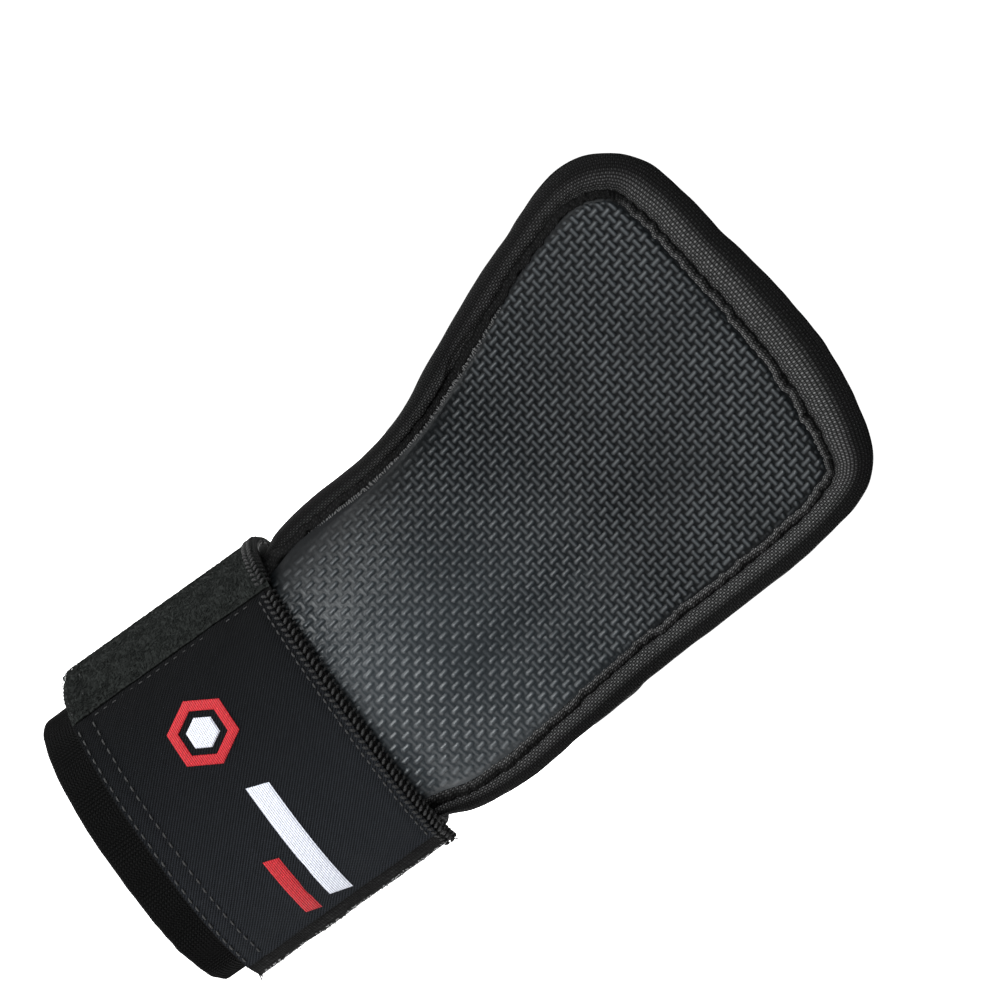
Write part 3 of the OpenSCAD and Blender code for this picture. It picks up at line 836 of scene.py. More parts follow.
def foam_core(part, where, *nodes):
    rows = {"low": (30, 12), "high": (41, 0)}[part]
    grid = pad_grid(part, RUBBER_EDGE, 41, *rows)
    x, z = grid[..., 0], grid[..., 1]
    side = 0.35 * noise(join(x, z), 9, 5)
    front = on_face(grid, RUBBER_T + 0.02)
    back = on_face(grid, RUBBER_T + FOAM_T - 0.15 + np.minimum(side, 0) * 0.4)
    piece = slab("foam_core_" + part, front, back, FOAM, join(x, z, 0))
    place(piece, where, "foam", *nodes)


SPLIT_SWELL = 0.95


def lining_sheet(part, where, *nodes):
    """The fabric next to the hand: it bulges between the seams that hold its edges. Both halves
    swell the same at the split line, so that they meet."""
    rows, size = {"low": ((28, 12), (0.066, 0.088)), "high": ((37, 0), (0.086, 0.075))}[part]
    grid = pad_grid(part, inset(1, -0.9), 37, *rows)
    z = grid[..., 1]
    flat = on_face(grid, PAD_T - 0.1)
    held = np.zeros(z.shape, bool)
    held[:, [0, -1]] = True
    held[[0, -1]] = True
    if part == "low":
        held[:rows[1] + 1] = True
    across = np.linspace(-1, 1, z.shape[1])[None]
    flat[..., 1] += SPLIT_SWELL * (1 - across ** 4) * bell(z, SPLIT_Z, 16)
    blown = inflate(flat, held, wrap=False, pressure=3.0, spare=0.02, cap=1.1)
    blown = flat + smoothstep(np.abs(z - SPLIT_Z), 0, 14)[..., None] * (blown - flat)
    for _ in range(2):
        blown = np.swapaxes(midpoints(np.swapaxes(midpoints(blown), 0, 1)), 0, 1)
    x, z = blown[..., 0], blown[..., 2]
    back = blown + np.array([0, 0.07, 0]) * noise(join(x, z), 5, 21)[..., None]
    front = on_face(join(x, z), RUBBER_T + FOAM_T)
    piece = slab("lining_" + part, back, front, LINING, join(x, z, 0), step=2)
    place(piece, where, "lining_fabric", *nodes)


# ---- the rim: rolled fabric, seam ridge and the selvedge threads

ROLL_SIDES, ROLL_SPACING = 22, 3
PUCKER_PITCH, STITCH_PITCH = 3.9, 2.1
LIT_SIDE = np.array([0.75, 0.66])     # direction in (x, z) of the rim's side that is painted lit
ROLL_LIT, RIDGE_LIT = math.radians(216), math.radians(240)  # ring angles of the flanks painted with a highlight


def off_ends(run, reach):
    """0 at both ends of a run and 1 from reach on."""
    return smoothstep(np.minimum(run - run[0], run[-1] - run), 0, reach)


def beat(run, pitch, shift=0.0):
    """Even beats in 0..1 along a run."""
    return 0.5 + 0.5 * np.cos(2 * np.pi * run / pitch + shift)


def facing_light(normal):
    """How far the rim faces its painted lit side, in 0..1."""
    return smoothstep(normal @ LIT_SIDE, -0.2, 0.8)


def at_split(points):
    """Ends of a tube brought exactly to the split height, so that the two halves meet."""
    for end in (0, -1):
        if abs(points[end, ..., 2].mean() - SPLIT_Z) < 1.5:
            points[end, ..., 2] = SPLIT_Z
    return points


def smooth_along(shift):
    """Evens out a displacement along the first axis over five stations."""
    padded = np.concatenate([shift[:1], shift[:1], shift, shift[-1:], shift[-1:]])
    weights = (1, 2, 3, 2, 1)
    return sum(w * padded[k:k + len(shift)] for k, w in enumerate(weights)) / sum(weights)


def rim_rings():
    """The whole roll round the pad's edge, from one end to the other: an oval tube, blown up, with
    puckers at its seam. Gives its rings, their fab values and the rings where the pad is split."""
    pick = np.unique([*range(RIGHT_START, LEFT_END, ROLL_SPACING), RIGHT_SPLIT, LEFT_SPLIT, LEFT_END])
    centre = on_face(RIM_CENTRE[pick], PAD_T / 2 - 0.35)
    outward = OUTER[pick, :2] - RIM_CENTRE[pick]
    lean = -TIP_LEAN * outward[:, 1] * smoothstep(OUTER[pick, 1], 108, 122)
    half = 0.94 * join(outward[:, 0], lean, outward[:, 1])
    angle = ring_angles(ROLL_SIDES)
    c, s = np.cos(angle)[None, :, None], np.sin(angle)[None, :, None]
    depth = 1.02 * ROLL_HALF_T * np.array([0, 1.0, 0])
    plain = centre[:, None] + half[:, None] * c + depth * s * (1 - 0.12 * c)
    held = np.zeros(plain.shape[:2], bool)
    held[:, np.cos(angle) < -0.85] = True
    held[[0, -1]] = True
    blown = inflate(plain, held, wrap=True, pressure=6.0, spare=0.09, cap=0.75)
    shape = plain + smooth_along(blown - plain)
    shape = midpoints_around(midpoints(midpoints_around(midpoints(shape))))
    run = midpoints(midpoints(OUTER_RUN[pick][:, None]))
    middle = shape.mean(1, keepdims=True)
    angle = ring_angles(4 * ROLL_SIDES)[None]
    inner = np.clip(0.35 - np.cos(angle), 0, 1.2)
    tucks = beat(run, PUCKER_PITCH, 0.8 * noise(run, 9, 2)[:, None]) * inner
    slow = noise(join(run[:, 0], 0), 13, 17)[:, None]
    pucker = 1 - off_ends(run, 1.5) * (0.05 * tucks + 0.025 * slow)
    shape = middle + (shape - middle) * pucker[..., None]
    # painted light: the side of the rim that faces the light, and the lit flank below, go in w to the
    # thread colour
    lit_weave = 0.55 + 0.45 * facing_light(midpoints(midpoints(OUT_NORMAL[pick])))
    lit_flank = smoothstep(np.cos(angle - ROLL_LIT), 0.4, 1.0)
    radius = 0.5 * (np.linalg.norm(outward, axis=1).mean() + ROLL_HALF_T)
    fab = join(run, angle * radius, lit_weave[:, None] * lit_flank)
    return shape, fab, [4 * int(np.searchsorted(pick, k)) for k in (RIGHT_SPLIT, LEFT_SPLIT)]


RIM_RINGS, RIM_FAB, RIM_SPLITS = rim_rings()


def rolled_rim(part, where, *nodes):
    """One half of the roll: over the finger end, or both sides below the split."""
    first, second = RIM_SPLITS
    spans = {"high": [(first, second + 1)], "low": [(0, first + 1), (second, len(RIM_RINGS))]}[part]
    rings, fab = (np.concatenate([values[a:b] for a, b in spans]) for values in (RIM_RINGS, RIM_FAB))
    cuts = [0, *np.cumsum([b - a for a, b in spans])]
    piece = tube("rolled_rim_" + part, rings, RIM_FABRIC, fab, list(zip(cuts, cuts[1:])))
    place(piece, where, "rim_fabric", *nodes)


def outline_spans(part):
    """Index ranges of the outline that a part of the rim runs along."""
    if part == "high":
        return [(RIGHT_SPLIT, LEFT_SPLIT + 1)]
    return [(RIGHT_START, RIGHT_SPLIT + 1), (LEFT_SPLIT, LEFT_END + 1)]


def seam_ridge(part, where, *nodes):
    """The gathered fold of fabric between the roll and the rubber, dented at every stitch. On its
    outer side a skirt reaches back under the roll."""
    angle = ring_angles(14)[None]
    rings, fabs, cuts = [], [], [0]
    line = inset(1, -0.55)
    for start, end in outline_spans(part):
        centre = on_face(line[start:end], 1.15)
        run = OUTER_RUN[start:end, None]
        normal = OUT_NORMAL[start:end]
        ends = off_ends(run, 2)
        wander = (0.42 * noise(run, 11, 31) + 0.2 * noise(run, 3.4, 32))[:, None] * ends
        centre[:, [0, 2]] += normal * wander
        dent = beat(run, STITCH_PITCH)
        half_w = 1.0 + 0.16 * noise(run, 5, 33)[:, None] * ends - 0.16 * dent * ends
        half_t = 1.3 - 0.3 * dent * ends
        out = join(normal[:, 0], 0, normal[:, 1])[:, None] * np.cos(angle)[..., None]
        skirt = np.maximum(np.cos(angle), 0)
        ring = centre[:, None] + out * (half_w + 1.3 * skirt)[..., None]
        ring[..., 1] += np.sin(angle) * half_t * (1 - 0.4 * skirt) + 1.1 * skirt
        rings.append(at_split(ring))
        # painted highlight on the ridge's lit side and flank, carried in w to the thread colour
        lit_flank = smoothstep(np.cos(angle - RIDGE_LIT), 0.3, 1.0)
        fabs.append(join(run + 0.5 * np.cos(angle), angle * 1.2, facing_light(normal)[:, None] * lit_flank))
        cuts.append(cuts[-1] + len(ring))
    piece = tube("seam_ridge_" + part, np.concatenate(rings), RIDGE_FABRIC, np.concatenate(fabs),
                 list(zip(cuts, cuts[1:])))
    place(piece, where, "ridge_fabric", *nodes)


def seam_thread(part, where):
    """Short selvedge threads along the rubber's sewn edge, mostly on the thumb side; each dips into
    the sheet at its ends."""
    line = inset(1, 0.35)
    s = np.linspace(-1, 1, 5)
    paths = []
    for start, end in outline_spans(part):
        run = OUTER_RUN[start:end]
        for middle in np.arange(run[0] + 0.3, run[-1] - 0.3, 0.5):
            middle += rng.uniform(-0.2, 0.2)
            x0, z0 = at_run(middle, run, line[start:end])
            dense = thumb_side(x0, z0, (38, 52), (94, 112))
            if dense < rng.uniform(0.05, 0.6):
                continue
            reach = 0.2 + 0.5 * dense + rng.uniform(-0.2, 0.25)
            across = at_run(middle, run, OUT_NORMAL[start:end])
            slant = rng.uniform(-0.3, 0.5)
            x = x0 + across[0] * s * reach + slant * s * across[1]
            z = z0 + across[1] * s * reach - slant * s * across[0]
            paths.append(join(x, face_y(x, z) + 0.5 - 0.25 * dense + 0.5 * np.abs(s) ** 3, z))
    place(threads("seam_thread_" + part, paths, 0.13, SELVEDGE), where, "thread")


# ---- the sleeve

DEGREES = 57.3      # in a radian, as rounded for the places where the sleeve's ripples are
RIB_DEPTH, RIPPLE = 0.09, 0.25


def elastic_sleeve():
    """Ribbed knitted ring with a rounded hem at each end."""
    ribs, per_rib, rows = 208, 5, 27
    t = np.linspace(0, 360, 2000)
    run = arc_length(join(*sleeve_at(t, 0.0)))
    girth = run[-1]
    around = np.linspace(0, girth, ribs * per_rib, endpoint=False)
    angle = np.interp(around, run, t)
    rib = np.cos(2 * np.pi * ribs * around / girth)
    low, high = SLEEVE_LOW[2], SLEEVE_HIGH[2]
    hem = SLEEVE_T / 2
    turn = np.linspace(0, np.pi, 7)[1:-1]
    heights = np.linspace(low + hem, high - hem, rows)
    profile = np.concatenate([
        join(heights, 0),
        join(high - hem + hem * np.sin(turn), -hem + hem * np.cos(turn)),
        join(heights[::-1], -SLEEVE_T),
        join(low + hem - hem * np.sin(turn), -hem - hem * np.cos(turn)),
    ])
    z, out = profile[:, :1], profile[:, 1:]
    outer_side = np.where(out > -hem, 1.0, -1.0)
    free = 1 - smoothstep(z, low, low + 12)
    spot = 30 * join(np.cos(angle / DEGREES), np.sin(angle / DEGREES))
    hem_band = bell(z, low + 6.5, 0.5)
    offset = out + outer_side * RIB_DEPTH * (rib[None] - 1) * (1 - 0.5 * hem_band)
    offset = offset + RIPPLE * free * noise(spot, 22, 41)[None] - 0.1 * outer_side * hem_band
    z = z + free * 0.12 * noise(spot, 9, 42)
    points = join(*sleeve_at(angle[None], offset), z)
    quads = grid_quads(len(profile), len(around), wrap=True, wrap_rows=True)
    piece = make_piece("ribbed_sleeve", points, quads, RIBBED, join(around[None], z, 0))
    place(piece, "cuff", "ribbed_elastic", "elastic_sleeve")


def curved_sheet(name, angles, runs, z, inner, outer, material, curve=strap_at, bumps=None):
    """A closed sheet that follows the wrist between the offsets inner and outer. bumps adds to
    the outer offset at (run, z)."""
    run, height = np.meshgrid(runs, z)
    top = outer if bumps is None else outer + bumps(run, height)
    front = join(*curve(angles[None], top), height)
    back = join(*curve(angles[None], inner), height)
    return slab(name, front, back, material, join(run, height, 0))


def sleeve_tape():
    """The taped seam that closes the sleeve, with a stitch line along each side."""
    angles = np.linspace(40, 55, 25)
    runs = arc_length(join(*sleeve_at(angles, 0)))
    z = np.linspace(SLEEVE_LOW[2] + 1, SLEEVE_HIGH[2] - 1, 59)

    def ridges(run, height):
        edge = np.minimum(run, runs[-1] - run)
        return -0.3 * (1 - smoothstep(edge, 0, 0.8)) - 0.15 * bell(edge, 1.6, 0.4)

    piece = curved_sheet("sleeve_tape", angles, runs, z, 0.0, 0.75, SEAM_TAPE, sleeve_at, ridges)
    place(piece, "cuff", "seam_tape", "sleeve_seam")


# ---- the strap

TAB_ROWS = (STRAP_Z0 + 1.0, STRAP_Z0 + 4.6, STRAP_Z1 - 3.4)     # heights of its stitch rows


def band_lift(angle):
    """The plush strap stands off the landing where it comes round to meet the tab."""
    t = np.clip((angle - 190) / 35, 0, 1)
    return (LABEL_OUT - PLUSH_T) * (0.5 - 0.5 * np.cos(np.pi * t))


def felt(run, height):
    """Uneven plush: small tufts and slow waves."""
    p = join(run, height)
    return 0.13 * noise(p, 1.3, 51) + 0.12 * noise(p, 7, 52)


def rounded_edge(height, z, radius, depth):
    edge = np.minimum(height - z[0], z[-1] - height)
    return -depth * (1 - smoothstep(edge, 0, radius))


def plush_strap(name, t0, t1, where, *nodes):
    """A stretch of the strap between two section angles. It thins out under the label's seam, and
    its sewn end lies close on the sleeve."""
    angles, runs = arc_angles(t0, t1, 0.45, PLUSH_T)
    z = np.linspace(STRAP_Z0, STRAP_Z1, 121)
    lift = band_lift(angles)[None]
    thinned = 0.8 * smoothstep(angles, 217, 222) + 0.9 * smoothstep(angles, 223, 226.5)
    inner = 0.3 + lift + thinned[None]
    if name == "plush_strap_back":
        inner = 0.05 + 0.25 * smoothstep(angles, ANCHOR_TO - 6, ANCHOR_TO + 2)[None] + lift

    def surface(run, height):
        sewn = sum(bell(height, row, 0.7) for row in TAB_ROWS[:2])
        return felt(run, height) + rounded_edge(height, z, 1.2, 0.7) - 0.25 * sewn

    piece = curved_sheet(name, angles, runs, z, inner, PLUSH_T + lift, STRAP_PLUSH, bumps=surface)
    place(piece, where, "strap_plush", *nodes)


def pile_paths(count, t_span, z_span, reach, degrees, points, rise):
    """Loops strewn over a plush surface. reach is the span of their half lengths, and degrees the
    section angle that a millimetre takes. rise(t, s) gives their offsets at section angles t, with
    s from 0 to pi along each loop."""
    t, height = rng.uniform(*t_span, (count, 1)), rng.uniform(*z_span, (count, 1))
    turn = rng.uniform(0, np.pi, (count, 1))
    s = np.linspace(0, np.pi, points)[None]
    along = rng.uniform(*reach, (count, 1)) * np.cos(s)
    return join(*strap_at(t + degrees * along * np.cos(turn), rise(t, s)),
                height + along * np.sin(turn))


def strap_pile(name, t0, t1, where):
    """Matted loops that stand on the plush strap."""
    def rise(t, s):
        return PLUSH_T + band_lift(t) - 0.12 + rng.uniform(0.15, 0.34, t.shape) * np.sin(s)

    z_span = (STRAP_Z0 + 0.4, STRAP_Z1 - 2.2)
    paths = pile_paths(4800, (t0, t1), z_span, (0.25, 0.5), 1.5, 4, rise)
    place(threads(name, paths, 0.1, STRAP_PLUSH, sides=4, flat=1), where, "strap_plush")


def landing_plush():
    angles, runs = arc_angles(LANDING_FROM, LANDING_TO, 0.6)
    z = np.linspace(STRAP_Z0 + 1.8, STRAP_Z1 - 1.4, 80)

    def surface(run, height):
        return 0.6 * felt(run, height) + rounded_edge(height, z, 0.8, 0.4) - 0.12

    def rise(t, s):
        return -0.25 + 0.4 * np.sin(s)

    piece = curved_sheet("landing_plush", angles, runs, z, -LOOP_T, 0, LOOP_PLUSH, bumps=surface)
    place(piece, "cuff", "loop_plush", "loop_landing")
    t_span = (LANDING_FROM + 2, LANDING_TO - 2)
    paths = pile_paths(2600, t_span, (z[0] + 2, z[-1] - 2), (0.3, 0.6), 1.6, 6, rise)
    place(threads("landing_loops", paths, 0.05, LOOP_PLUSH, sides=4, flat=1), "cuff", "loop_plush")


HEM_X = 32.3        # where the label ends and the folded hem shows
HEM_CURVE = np.linspace(290, TAB_END, 200)
LABEL_T0 = PEEL_AT + 0.4
LABEL_T1 = float(np.interp(HEM_X, strap_at(HEM_CURVE, LABEL_OUT)[0], HEM_CURVE))


def tab_pieces():
    """The tab's layers: webbing, the label panel outside it and the hook tape inside it."""
    angles, runs = arc_angles(PEEL_AT - 1, TAB_END - 6, 0.8, WEB_OUT)
    z = np.linspace(STRAP_Z0, STRAP_Z1, 61)
    web = curved_sheet("tab_webbing", angles, runs, z, WEB_IN, WEB_OUT, WEBBING)
    place(web, TAB_PEEL, "webbing", "tab_web")

    angles, runs = arc_angles(LABEL_T0, LABEL_T1, 0.7, LABEL_OUT)
    label_end = runs[-1]

    def quilting(run, height):
        """Slow puffing between the stitch rows, dents along them and a ridge at the label's end."""
        sewn = sum(bell(height, row, 0.75) for row in TAB_ROWS)
        p = join(run, height)
        tugs = beat(run, 2.6, -np.pi / 2)
        fold = label_end - run
        ridge = 0.6 * bell(fold, 0.9, 0.6) - 0.4 * (1 - smoothstep(fold, 0, 0.6))
        return 0.14 * noise(p, 16, 61) + 0.05 * noise(p, 4, 62) - sewn * (0.16 + 0.08 * tugs) + ridge

    z = np.linspace(STRAP_Z0 + 0.3, STRAP_Z1 - 1.6, 70)
    label = curved_sheet("label_panel", angles, runs, z, WEB_OUT, LABEL_OUT, LABEL_TWILL,
                         bumps=quilting)
    place(label, TAB_PEEL, "label_twill", "tab_label")

    angles, runs = arc_angles(PEEL_AT + 3, TAB_END - 8, 0.8, HOOK_IN)
    z = np.linspace(STRAP_Z0 + 2, STRAP_Z1 - 1.6, 56)
    base = HOOK_IN + 0.5
    strip = curved_sheet("hook_strip", angles, runs, z, base, WEB_IN, HOOK_TAPE)
    place(strip, TAB_PEEL, "hook_tape", "tab_hook")
    hook_field(base)


def hook_field(base):
    """Rows of tiny hooks on the tab's inner face, leaning up and down by turns."""
    angles, _ = arc_angles(PEEL_AT + 4.5, TAB_END - 9, 1.9, HOOK_IN)
    rise = np.array([0.05, -0.2, -0.4, -0.46, -0.36, -0.2])
    lean = np.array([0.0, 0.02, 0.12, 0.3, 0.46, 0.5])
    paths = []
    for row, height in enumerate(np.arange(STRAP_Z0 + 3.4, STRAP_Z1 - 2.6, 1.5)):
        side = 1 if row % 2 else -1
        for t in angles + 0.6 * (row % 2):
            paths.append(join(*strap_at(t, base + rise), height + side * lean))
    hooks = threads("hook_field", paths, 0.11, HOOK_TAPE, sides=5, flat=1)
    place(hooks, TAB_PEEL, "hook_tape")


def folded_hem():
    """The strap's end, folded back on itself: a loop of webbing that thins out to its edge."""
    rows, power = 96, 0.5           # a low power squares off the loop's section
    z = np.linspace(STRAP_Z0, STRAP_Z1, rows)[:, None]
    a = ring_angles(36)[None]
    wave = 0.25 * noise(join(z[:, 0], 0), 14, 71)[:, None]
    share = 0.5 + 0.5 * signed_power(np.cos(a), power)
    angle = LABEL_T1 - 1.2 + (TAB_END + 0.4 - LABEL_T1 + 1.2) * share + wave * share
    half = 1.35 - 0.45 * share
    out = 1.45 - 0.15 * share + (half + 0.5 * wave) * signed_power(np.sin(a), power)
    piece = tube("folded_hem", join(*strap_at(angle, out), z), WEBBING, join(z, a * 2.4, 0),
                 [(0, rows)])
    place(piece, "tab", "webbing", "tab_hem")


def frayed_ends():
    """Loose yarns at the hem's two corners, and pale hook fibres along its outer edge."""
    paths = []
    s = np.linspace(0, 1, 6)
    for corner, sign in ((STRAP_Z1, 1), (STRAP_Z0, -1)):
        for _ in range(22):
            t = TAB_END - rng.uniform(-0.4, 7)
            length = rng.uniform(0.4, 1.3)
            curl = rng.normal(0, 1.6, 2)
            out = 1.6 + rng.uniform(-0.9, 0.9) + 0.6 * curl[1] * s ** 2
            paths.append(join(*strap_at(t + curl[0] * s * (1.3 - s), out),
                              corner + sign * (length * (1.6 * s - s ** 2) - 0.5)))
    place(threads("frayed_yarn", paths, 0.15, OVERLOCK, sides=5, flat=1), "tab", "webbing")
    paths = []
    s = np.linspace(0, 1, 4)
    for z in np.arange(STRAP_Z0 + 1.5, STRAP_Z1 - 1.5, 0.3):
        lean = rng.normal(0, 0.4)
        bow = rng.uniform(0, 0.35) * np.sin(np.pi * s)
        start = TAB_END - rng.uniform(1.6, 4.2)
        x, y = strap_at(start + rng.uniform(0.4, 1.6) * s, 2.48 - 0.3 * s ** 2 + bow)
        paths.append(join(x, y, z + lean * s))
    place(threads("hook_edge_fibres", paths, 0.1, PALE_FIBRE, sides=4, flat=1), "tab", "hook_tape")


# ---- sewing

STITCH = np.linspace(-0.5, 0.5, 5)              # points along one stitch, in shares of its pitch
STITCH_SHARE = 0.62                             # of the pitch is thread, the rest is cloth
STITCH_DIP = 0.3 * np.abs(2 * STITCH) ** 3      # each stitch dips into the cloth at its ends
STITCH_RISE = 0.12


def sew(name, paths, radius, where, *nodes):
    place(threads(name, paths, radius, THREAD), where, "thread", *nodes)


def strap_point(runs, angles, run, out, z):
    """Points on the strap at arc lengths run, with an arc_angles() table to look them up in."""
    return join(*strap_at(np.interp(run, runs, angles), out), z)


def stitch_rows(angles, runs, out, heights, pitch, share=STITCH_SHARE):
    """Straight rows of stitches along the strap. out is one offset, or one for each of runs; share
    is how much of the pitch is thread."""
    paths = []
    for z in heights:
        for middle in np.arange(runs[0] + pitch, runs[-1] - pitch / 2, pitch):
            level = np.interp(middle, runs, out + 0 * runs)
            waver = 0.06 * math.sin(middle * 1.7)
            paths.append(strap_point(runs, angles, middle + STITCH * pitch * share,
                                     level + STITCH_RISE - STITCH_DIP, z + waver))
    return paths


def upright_row(angle, out, z0, z1, pitch):
    """A row of stitches up the strap at one section angle."""
    return [join(*strap_at(angle, out - STITCH_DIP), middle + STITCH * pitch * STITCH_SHARE)
            for middle in np.arange(z0, z1, pitch)]


def overlock(name, angles, runs, level, inner, where, *nodes):
    """Overlock stitching along the strap's top edge, from the offset inner to the offset level: two
    slanting rows on the face, and wraps over the edge."""
    pitch, top = 1.45, STRAP_Z1
    steps = np.linspace(0, 1, 5)
    bow = np.sin(np.pi * steps)
    paths = []
    for k, s0 in enumerate(np.arange(runs[0] + 0.8, runs[-1] - 1.0, pitch)):
        face, back = (np.interp(s0, runs, offset + 0 * runs) for offset in (level, inner))
        drift = 0.08 * math.sin(k * 2.1)
        for run, out, z in (
            (0.95 * steps, face + 0.22 + 0.16 * bow, drift - 0.1 - 1.25 * steps),
            (0.95 - 0.95 * steps, face + 0.2 + 0.14 * bow, drift - 1.45 - 1.15 * steps),
            (0.3 * steps, back + (face + 0.2 - back) * steps, 0.5 * bow ** 0.6 - 0.05),
        ):
            paths.append(strap_point(runs, angles, s0 + run, out, top + z))
    place(threads(name, paths, 0.34, OVERLOCK, flat=0.85), where, "overlock_thread", *nodes)


def strap_sewing():
    angles, runs = arc_angles(LABEL_T0 + 0.5, LABEL_T1 - 0.6, 0.5, LABEL_OUT)
    rows = stitch_rows(angles, runs, LABEL_OUT, TAB_ROWS[:2], 2.3, share=0.66)
    rows += stitch_rows(angles, runs, LABEL_OUT, TAB_ROWS[2:], 1.9, share=0.66)
    sew("tab_stitching", rows, 0.2, TAB_PEEL, "tab_stitches")
    angles, runs = arc_angles(LABEL_T0 + 0.5, TAB_END - 0.5, 0.5, LABEL_OUT)
    level = LABEL_OUT - 0.9 * smoothstep(angles, LABEL_T1 - 1.5, LABEL_T1 + 1.5)
    overlock("tab_overlock", angles, runs, level, WEB_IN, TAB_PEEL, "tab_binding")
    for half, t0, t1, where, binding, stitches in (
        ("front", THUMB_SIDE + 0.5, PEEL_AT - 1, TAB_PEEL, ["band_binding"], ["band_stitches"]),
        ("back", ANCHOR_FROM + 1, THUMB_SIDE, BAND_SWING, [], []),
    ):
        angles, runs = arc_angles(t0, t1, 0.5, PLUSH_T)
        lift = band_lift(angles)
        overlock("band_overlock_" + half, angles, runs, PLUSH_T + lift, 0.4 + lift, where, *binding)
        rows = stitch_rows(angles, runs, PLUSH_T + lift - 0.42, TAB_ROWS[:2], 2.6)
        sew("band_stitching_" + half, rows, 0.2, where, *stitches)


def anchor_sewing():
    """The box with a cross in it that sews the strap's end to the sleeve."""
    low, high, pitch, out = STRAP_Z0 + 8, STRAP_Z1 - 5, 2.4, PLUSH_T - 0.1
    angles, runs = arc_angles(ANCHOR_FROM + 4, ANCHOR_TO - 6, 0.5, PLUSH_T)
    rows = stitch_rows(angles, runs, out, (low, high), pitch)
    for t in (ANCHOR_FROM + 4.5, ANCHOR_TO - 7):
        rows += upright_row(t, out, low + 1.5, high - 0.5, pitch)
    width, height = runs[-1] - 5, high - low - 2.5
    count = int(np.hypot(width, height) / pitch)
    for start, sign in ((low + 1.2, 1), (high - 1.2, -1)):
        for k in range(count):
            f = (k + 0.5 + STITCH * STITCH_SHARE) / count
            rows.append(strap_point(runs, angles, 2.5 + f * width, out + 0.1 - STITCH_DIP,
                                    start + sign * f * height))
    sew("anchor_box_stitch", rows, 0.22, "cuff", "anchor_stitches")


def other_sewing():
    rows = upright_row(PEEL_AT + 1.9, LABEL_OUT, STRAP_Z0 + 6, STRAP_Z1 - 5, 2.2)
    sew("label_seam_thread", rows, 0.13, TAB_PEEL, "label_seam")
    anchor_sewing()
    angles, runs = arc_angles(LANDING_FROM + 2, LANDING_TO - 2, 0.5)
    rows = stitch_rows(angles, runs, -0.05, (STRAP_Z0 + 3, STRAP_Z1 - 2.6), 2.4)
    sew("landing_stitching", rows, 0.18, "cuff", "landing_stitches")
    s = np.linspace(0, 1.9, 5)
    rows = [join(*sleeve_at(t + s, 0.15 - 0.2 * np.abs(s / 0.95 - 1) ** 3), z)
            for z in (HEEL_LOW - 1.2, HEEL_LOW - 3) for t in np.arange(HEEL_FROM, HEEL_TO, 3.0)]
    sew("heel_stitching", rows, 0.2, "cuff", "heel_stitches")


# ---- the woven marks

BADGE = np.array([-13.0, 6.0])
BADGE_R, RING_W, CENTRE_R = 7.5, 2.4, 3.5
RED_BAR, WHITE_BAR = (16, 0.4, 30, 3.6), (2, 6.6, 30, 11.2)
MARK_RISE = 0.28


def on_label(x, z, out):
    """Points on the label's curved face at x and z."""
    t = np.linspace(200, 340, 1500)
    curve_x, curve_y = strap_at(t, LABEL_OUT)
    _, far_y = strap_at(t, LABEL_OUT + 1.0)
    lift = np.interp(x, curve_x, far_y - curve_y)
    return join(x, np.interp(x, curve_x, curve_y) + lift * out, z)


def hexagon(radius, count):
    """Points round a hexagon with a corner at +x, count to a side, as (x, z)."""
    turns = [math.radians(60 * k) for k in range(7)]
    corners = [radius * np.array([math.cos(t), math.sin(t)]) for t in turns]
    return np.concatenate([straight(a, b, count + 1)[:-1] for a, b in zip(corners, corners[1:])])


def raised_ring():
    """The badge's hexagon ring, with rounded shoulders."""
    shares = np.array([0, 0.0, 0.06, 0.16, 0.5, 0.84, 0.94, 1.0, 1.0])
    rises = np.array([-0.35, 0.35, 0.8, 1.0, 1.0, 1.0, 0.8, 0.35, -0.35]) * MARK_RISE
    outer, inner = (hexagon(radius, 14) + BADGE for radius in (BADGE_R, BADGE_R - RING_W))
    flat = outer[None] + (inner - outer)[None] * shares[:, None, None]
    x, z = flat[..., 0], flat[..., 1]
    quads = grid_quads(len(shares), len(outer), wrap=True, wrap_rows=True)
    ring = make_piece("red_ring", on_label(x, z, rises[:, None]), quads, RED_YARN, join(x, z, 0))
    place(ring, "tab", "red_yarn", "mark_red")


def raised_face(x, z, edge):
    """Front and back points of a raised mark with rounded shoulders, from each point's distance
    to the mark's border."""
    rise = MARK_RISE * (0.3 + 0.7 * smoothstep(edge, 0, 0.5))
    return on_label(x, z, rise), on_label(x, z, -0.1)


def raised_bar(name, box, material, slot, *nodes):
    """A bar with slanted ends."""
    spacing = 0.45
    x0, z0, x1, z1 = box
    x, z = np.meshgrid(np.linspace(x0, x1, int((x1 - x0) / spacing)),
                       np.linspace(z0, z1, int((z1 - z0) / spacing) + 3))
    edge = np.minimum(np.minimum(x - x0, x1 - x), np.minimum(z - z0, z1 - z))
    x = x + 0.35 * (z - (z0 + z1) / 2)
    front, back = raised_face(x, z, edge)
    place(slab(name, front, back, material, join(x, z, 0)), "tab", slot, *nodes)


def raised_hexagon():
    """The badge's centre: rings of points round a middle one, and a flat underside."""
    share = np.linspace(0, 1, 9)[:, None, None]
    flat = hexagon(CENTRE_R, 10)[None] * share + BADGE
    x, z = flat[..., 0], flat[..., 1]
    front, back = raised_face(x, z, (1 - share[..., 0]) * CENTRE_R)
    fab = join(x, z, 0)
    rows, cols = x.shape
    points = np.vstack([front[1:].reshape(-1, 3), back[-1], front[0, :1]])
    places = np.vstack([fab[1:].reshape(-1, 3), fab[-1], fab[0, :1]])
    quads = grid_quads(rows, cols, wrap=True)
    middle = len(points) - 1
    fans = [[(c + 1) % cols, c, middle] for c in range(cols)]
    under = [np.arange(cols) + (rows - 1) * cols]
    hexa = make_piece("white_hexagon", points, quads, WHITE_YARN, places, fans + under, under)
    place(hexa, "tab", "white_yarn")


# ---- build

